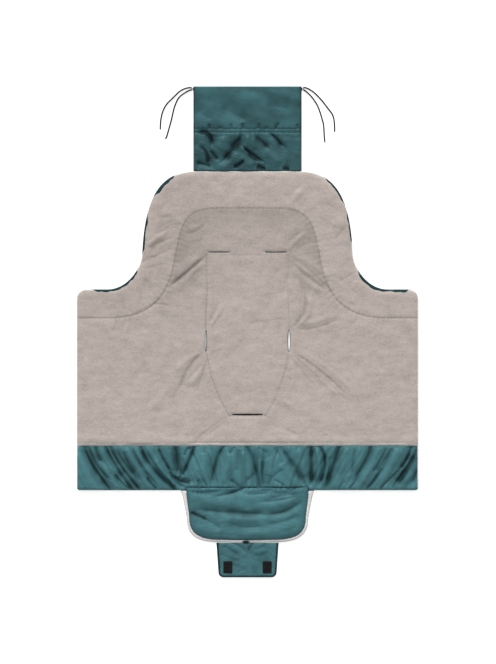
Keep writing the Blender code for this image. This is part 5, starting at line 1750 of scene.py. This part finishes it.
# The tie cords lie as in the CAD: X and Y of each point, from the panel's corner outwards
tieRoutes = {
    "tie_left_outer": (
        (-0.1448, 0.6336), (-0.1500, 0.6355), (-0.1609, 0.6336), (-0.1690, 0.6303), (-0.1778, 0.6248),
        (-0.1859, 0.6173), (-0.1968, 0.6064), (-0.2088, 0.5944), (-0.2166, 0.5824), (-0.2218, 0.5697),
        (-0.2246, 0.5577), (-0.2262, 0.5475), (-0.2272, 0.5260),
    ),
    "tie_left_inner": (
        (-0.1448, 0.6300), (-0.1539, 0.6270), (-0.1641, 0.6212), (-0.1739, 0.6143), (-0.1810, 0.6062),
        (-0.1859, 0.5963), (-0.1908, 0.5833), (-0.1947, 0.5675), (-0.1979, 0.5527), (-0.2018, 0.5386),
        (-0.2096, 0.5110), (-0.2137, 0.5014),
    ),
    "tie_right_outer": (
        (0.1448, 0.6336), (0.1483, 0.6356), (0.1563, 0.6334), (0.1661, 0.6279), (0.1742, 0.6220),
        (0.1823, 0.6142), (0.1960, 0.5991), (0.2101, 0.5805), (0.2200, 0.5675), (0.2249, 0.5535),
        (0.2265, 0.5376), (0.2270, 0.5202),
    ),
    "tie_right_inner": (
        (0.1448, 0.6300), (0.1500, 0.6272), (0.1573, 0.6214), (0.1672, 0.6112), (0.1752, 0.6003),
        (0.1823, 0.5883), (0.1882, 0.5735), (0.1940, 0.5545), (0.1981, 0.5376), (0.1999, 0.5090),
        (0.2015, 0.4926),
    ),
}
tie = {
    "heights": (0.0026, 0.0022, 0.0017, 0.0016),  # of the first points; the last one's holds for the rest
    "diameter": 0.0038,
    "step": 0.0012,
    "strands": 3,
    "braid": 0.05,
    "twist": 0.62,  # radians a step
    "melted": 0.0016,  # length of the rounded end
}


# Points a step apart on a smooth curve through the route's own points
def smoothRoute(route, step):
    points = np.array(route, float)
    points = np.concatenate([[2 * points[0] - points[1]], points, [2 * points[-1] - points[-2]]])
    dense = []
    for a, b, c, d in zip(points, points[1:], points[2:], points[3:]):
        t = np.linspace(0, 1, 13)[:-1, None]
        square, cube = 2 * a - 5 * b + 4 * c - d, 3 * b - a - 3 * c + d
        dense.append(0.5 * (2 * b + (c - a) * t + square * t**2 + cube * t**3))
    return spaced(np.concatenate([*dense, points[-2:-1]]), step)


# A braided cord: two sets of strands cross round it, and its cut end is melted round
def cordPiece(name, route, stands):
    heights = [*tie["heights"], *[tie["heights"][-1]] * len(route)]
    points = smoothRoute([(x, y, z) for (x, y), z in zip(route, heights)], tie["step"])
    points[:, 2] = np.maximum(points[:, 2], 0.53 * tie["diameter"] + 0.0001)  # clear of the floor
    along = np.gradient(points, axis=0)
    along /= np.linalg.norm(along, axis=1)[:, None]
    turns = np.linspace(0, 2 * math.pi, 14, endpoint=False)
    sections = []
    for i, (point, run) in enumerate(zip(points, along)):
        across = np.cross(run, (0, 0, 1))
        across /= np.linalg.norm(across)
        left = (len(points) - 1 - i) * tie["step"]
        closing = math.sqrt(max(0.02, 1 - max(0.0, 1 - left / tie["melted"]) ** 2))
        over, under = (np.cos(tie["strands"] * turns + way * tie["twist"] * i) for way in (1, -1))
        radius = tie["diameter"] / 2 * (1 + tie["braid"] * over * under) * closing
        sections.append(ringAt(point, across, np.cross(across, run), turns, radius))
    piece = addPiece(name, sweptMesh(name, sections), "cord", "head_panel", stands=stands)


for name, route in tieRoutes.items():
    cordPiece(name + "_cord", route, [name])
print("stage: ties")

coil = {
    "pitch": 0.0019,
    "inside": 0.0079,  # from the wing's edge
    "level": 0.0040,
    "reach": 0.00105,
    "loop": 0.00115,  # from the loop's middle to its thread, before it is bent
    "thread": 0.00036,
    "head": 1.25,  # how much thicker the thread is at its head
    "lean": 0.22,
    "ends": (edgeY + 0.0163, wingTopY - 0.0433),
}
# One tooth's loop, from its foot round its head and back, in shares of its reach
toothLoop = (
    (-1.0, 0.0), (-0.9, 0.55), (-0.2, 0.75), (0.6, 0.75), (1.05, 0.35),
    (1.05, -0.35), (0.6, -0.75), (-0.2, -0.75), (-0.9, -0.55),
)


# A nylon coil: one bent loop for each tooth, with its head towards the wing's edge
def coilPiece(name, side, body, stands):
    pitch, reach = coil["pitch"], coil["reach"]
    x = side * (span / 2 - coil["inside"])
    sections = []
    for i, (across, up) in enumerate(toothLoop):
        lean = pitch * coil["lean"] * (1 if i < 5 else -1)
        thick = coil["thread"] * (coil["head"] if across > 1 else 1.0)
        centre = (x + side * across * reach, lean, coil["level"] + up * reach)
        out = np.array((side * across, 0, up)) * reach / coil["loop"]
        sections.append(ringAt(centre, thick * out, (0, thick, 0), np.radians(np.arange(0, 360, 72))))
    tooth = sweptMesh("tooth", sections, closedPath=True)
    low, high = coil["ends"]
    steps = range(int((high - low) / pitch))
    bm = bmesh.new()
    addCopies(bm, tooth, [Matrix.Translation((0, low + (step + 0.5) * pitch, 0)) for step in steps])
    addPiece(name, meshFrom(name, bm), "teeth", body, stands=stands)


zipTape = {"thickness": 0.0005, "waves": 0.00012, "segments": (12, 160)}


# The woven tape fills its CAD node's box, with a slight wave
def tapePiece(name, node, body):
    low, high = (np.array(corner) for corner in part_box(node))
    across, along = zipTape["segments"]
    bm = bmesh.new()
    bmesh.ops.create_grid(bm, x_segments=across, y_segments=along, size=0.5)
    for vert in bm.verts:
        vert.co.xy = low[:2] + (np.array(vert.co.xy) + 0.5) * (high - low)[:2]
        wave = noise.noise((vert.co.x / 0.02, vert.co.y / 0.03, 81.0))
        vert.co.z = (low[2] + high[2]) / 2 + zipTape["waves"] * wave
    bmesh.ops.solidify(bm, geom=bm.faces[:], thickness=zipTape["thickness"])
    addPiece(name, meshFrom(name, bm, 40), "tape", body, stands=[node])


for side, name in sides:
    coilPiece(f"{name}_zip_coil", side, f"{name}_wing", [f"{name}_zip_teeth"])
    tapePiece(f"{name}_zip_cloth_tape", f"{name}_zip_tape", f"{name}_wing")

# CAD nodes that stay: their finish, the width of their worn edges and its segments
nodeLooks = {
    "metal": (("zip_slider", "zip_puller", "left_zip_stop", "right_zip_stop"), 0.00012, 2),
    "teeth": (("zip_box", "zip_pin"), 0.0003, 3),
    "cord": (("tie_root_left", "tie_root_right"), 0, 0),
}
for finish, (names, width, segments) in nodeLooks.items():
    for name in names:
        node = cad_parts[name]
        node.data.materials.clear()
        node.data.materials.append(materials[finish])
        if width:
            bevel = node.modifiers.new("edge", "BEVEL")
            bevel.width = width
            bevel.segments = segments
            bevel.limit_method = "ANGLE"
print("stage: zip")


sewing = {
    "step": 0.0016,
    "lift": 0.0002,
    "rowHalf": 0.134,
    "rowThread": 0.00036,
    "gatherThread": 0.00030,
    "belowHem": 0.0024,
    "ends": 0.004,
}


# Points along a path, laid on a surface
def onTop(path, surface):
    path = spaced(path, sewing["step"])
    return np.column_stack([path, surface(path) + sewing["lift"]])


def headAt(path):
    return headTop(path, nearest(path, headOutline, closed=True)[0])


quiltRuns = [onTop(points, bodyTop) for points, depth in quilting]
addPiece("quilting_stitches", stitchMesh("quilting_stitches", quiltRuns), "thread_fleece", "back")
rowRuns = [onTop([(-sewing["rowHalf"], y), (sewing["rowHalf"], y)], headAt) for y in head["rows"]]
mesh = stitchMesh("head_panel_stitches", rowRuns, sewing["rowThread"])
addPiece("head_panel_stitches", mesh, "nylon_dark", "head_panel")
mesh = stitchMesh("gather_stitches", [onTop(gatherSeam, bodyTop)], sewing["gatherThread"])
addPiece("gather_stitches", mesh, "thread", "back")
outer = span / 2 - sewing["ends"]
level = bandTopY - sewing["belowHem"]
for part, low, high in (("left", -outer, -foldX), ("back", -foldX, foldX), ("right", foldX, outer)):
    mesh = stitchMesh(f"{part}_band_stitches", [onTop([(low, level), (high, level)], bodyTop)])
    addPiece(f"{part}_band_stitches", mesh, "thread", part)
print("stage: sewing")

light = {
    "compass": 8,  # degrees from north towards west
    "height": 36,
    "spread": 20,
    "strength": 2.55,
    "world": 0.50,
    "floor": 0.80,
    "floorGlow": 0.62,  # makes the floor white to the camera and in reflections, and nowhere else
    "floorDown": 0.0004,
    "floorHalf": 20,
}


def makeFloor():
    material = bpy.data.materials.new("floor")
    material.use_nodes = True
    material.node_tree.nodes.clear()
    rays = addNode(material, "ShaderNodeLightPath")
    seen = rays.outputs["Is Camera Ray"]
    for ray in ("Is Glossy Ray", "Is Transmission Ray"):
        either = addNode(material, "ShaderNodeMath", operation="MAXIMUM")
        link(material, seen, either.inputs[0])
        link(material, rays.outputs[ray], either.inputs[1])
        seen = either.outputs[0]
    glow = addNode(material, "ShaderNodeMath", operation="MULTIPLY")
    glow.inputs[1].default_value = light["floorGlow"]
    pale = addNode(material, "ShaderNodeBsdfDiffuse", Color=(*[light["floor"]] * 3, 1))
    shine = addNode(material, "ShaderNodeEmission", Color=(1, 1, 1, 1))
    both = addNode(material, "ShaderNodeAddShader")
    out = addNode(material, "ShaderNodeOutputMaterial")
    link(material, seen, glow.inputs[0])
    link(material, glow.outputs[0], shine.inputs["Strength"])
    link(material, pale.outputs[0], both.inputs[0])
    link(material, shine.outputs[0], both.inputs[1])
    link(material, both.outputs[0], out.inputs["Surface"])
    bm = bmesh.new()
    bmesh.ops.create_grid(bm, x_segments=2, y_segments=2, size=light["floorHalf"])
    floor = bpy.data.objects.new("floor", meshFrom("floor", bm))
    floor.location.z = -light["floorDown"]
    floor.data.materials.append(material)
    bpy.context.scene.collection.objects.link(floor)


def makeSun():
    sun = bpy.data.lights.new("key", "SUN")
    sun.angle = math.radians(light["spread"])
    sun.energy = light["strength"]
    lamp = bpy.data.objects.new("key", sun)
    level, turn = math.radians(light["height"]), math.radians(light["compass"])
    place = Vector((-math.sin(turn) * math.cos(level), math.cos(turn) * math.cos(level), math.sin(level)))
    lamp.location = 4 * place
    lamp.rotation_euler = (-place).to_track_quat("-Z", "Y").to_euler()
    bpy.context.scene.collection.objects.link(lamp)


def makeWorld():
    world = bpy.data.worlds.new("world")
    bpy.context.scene.world = world
    world.use_nodes = True
    background = world.node_tree.nodes["Background"]
    background.inputs["Color"].default_value = (1, 1, 1, 1)
    background.inputs["Strength"].default_value = light["world"]


makeFloor()
makeWorld()
makeSun()
bpy.context.scene.view_settings.view_transform = "Standard"
print("stage: light")
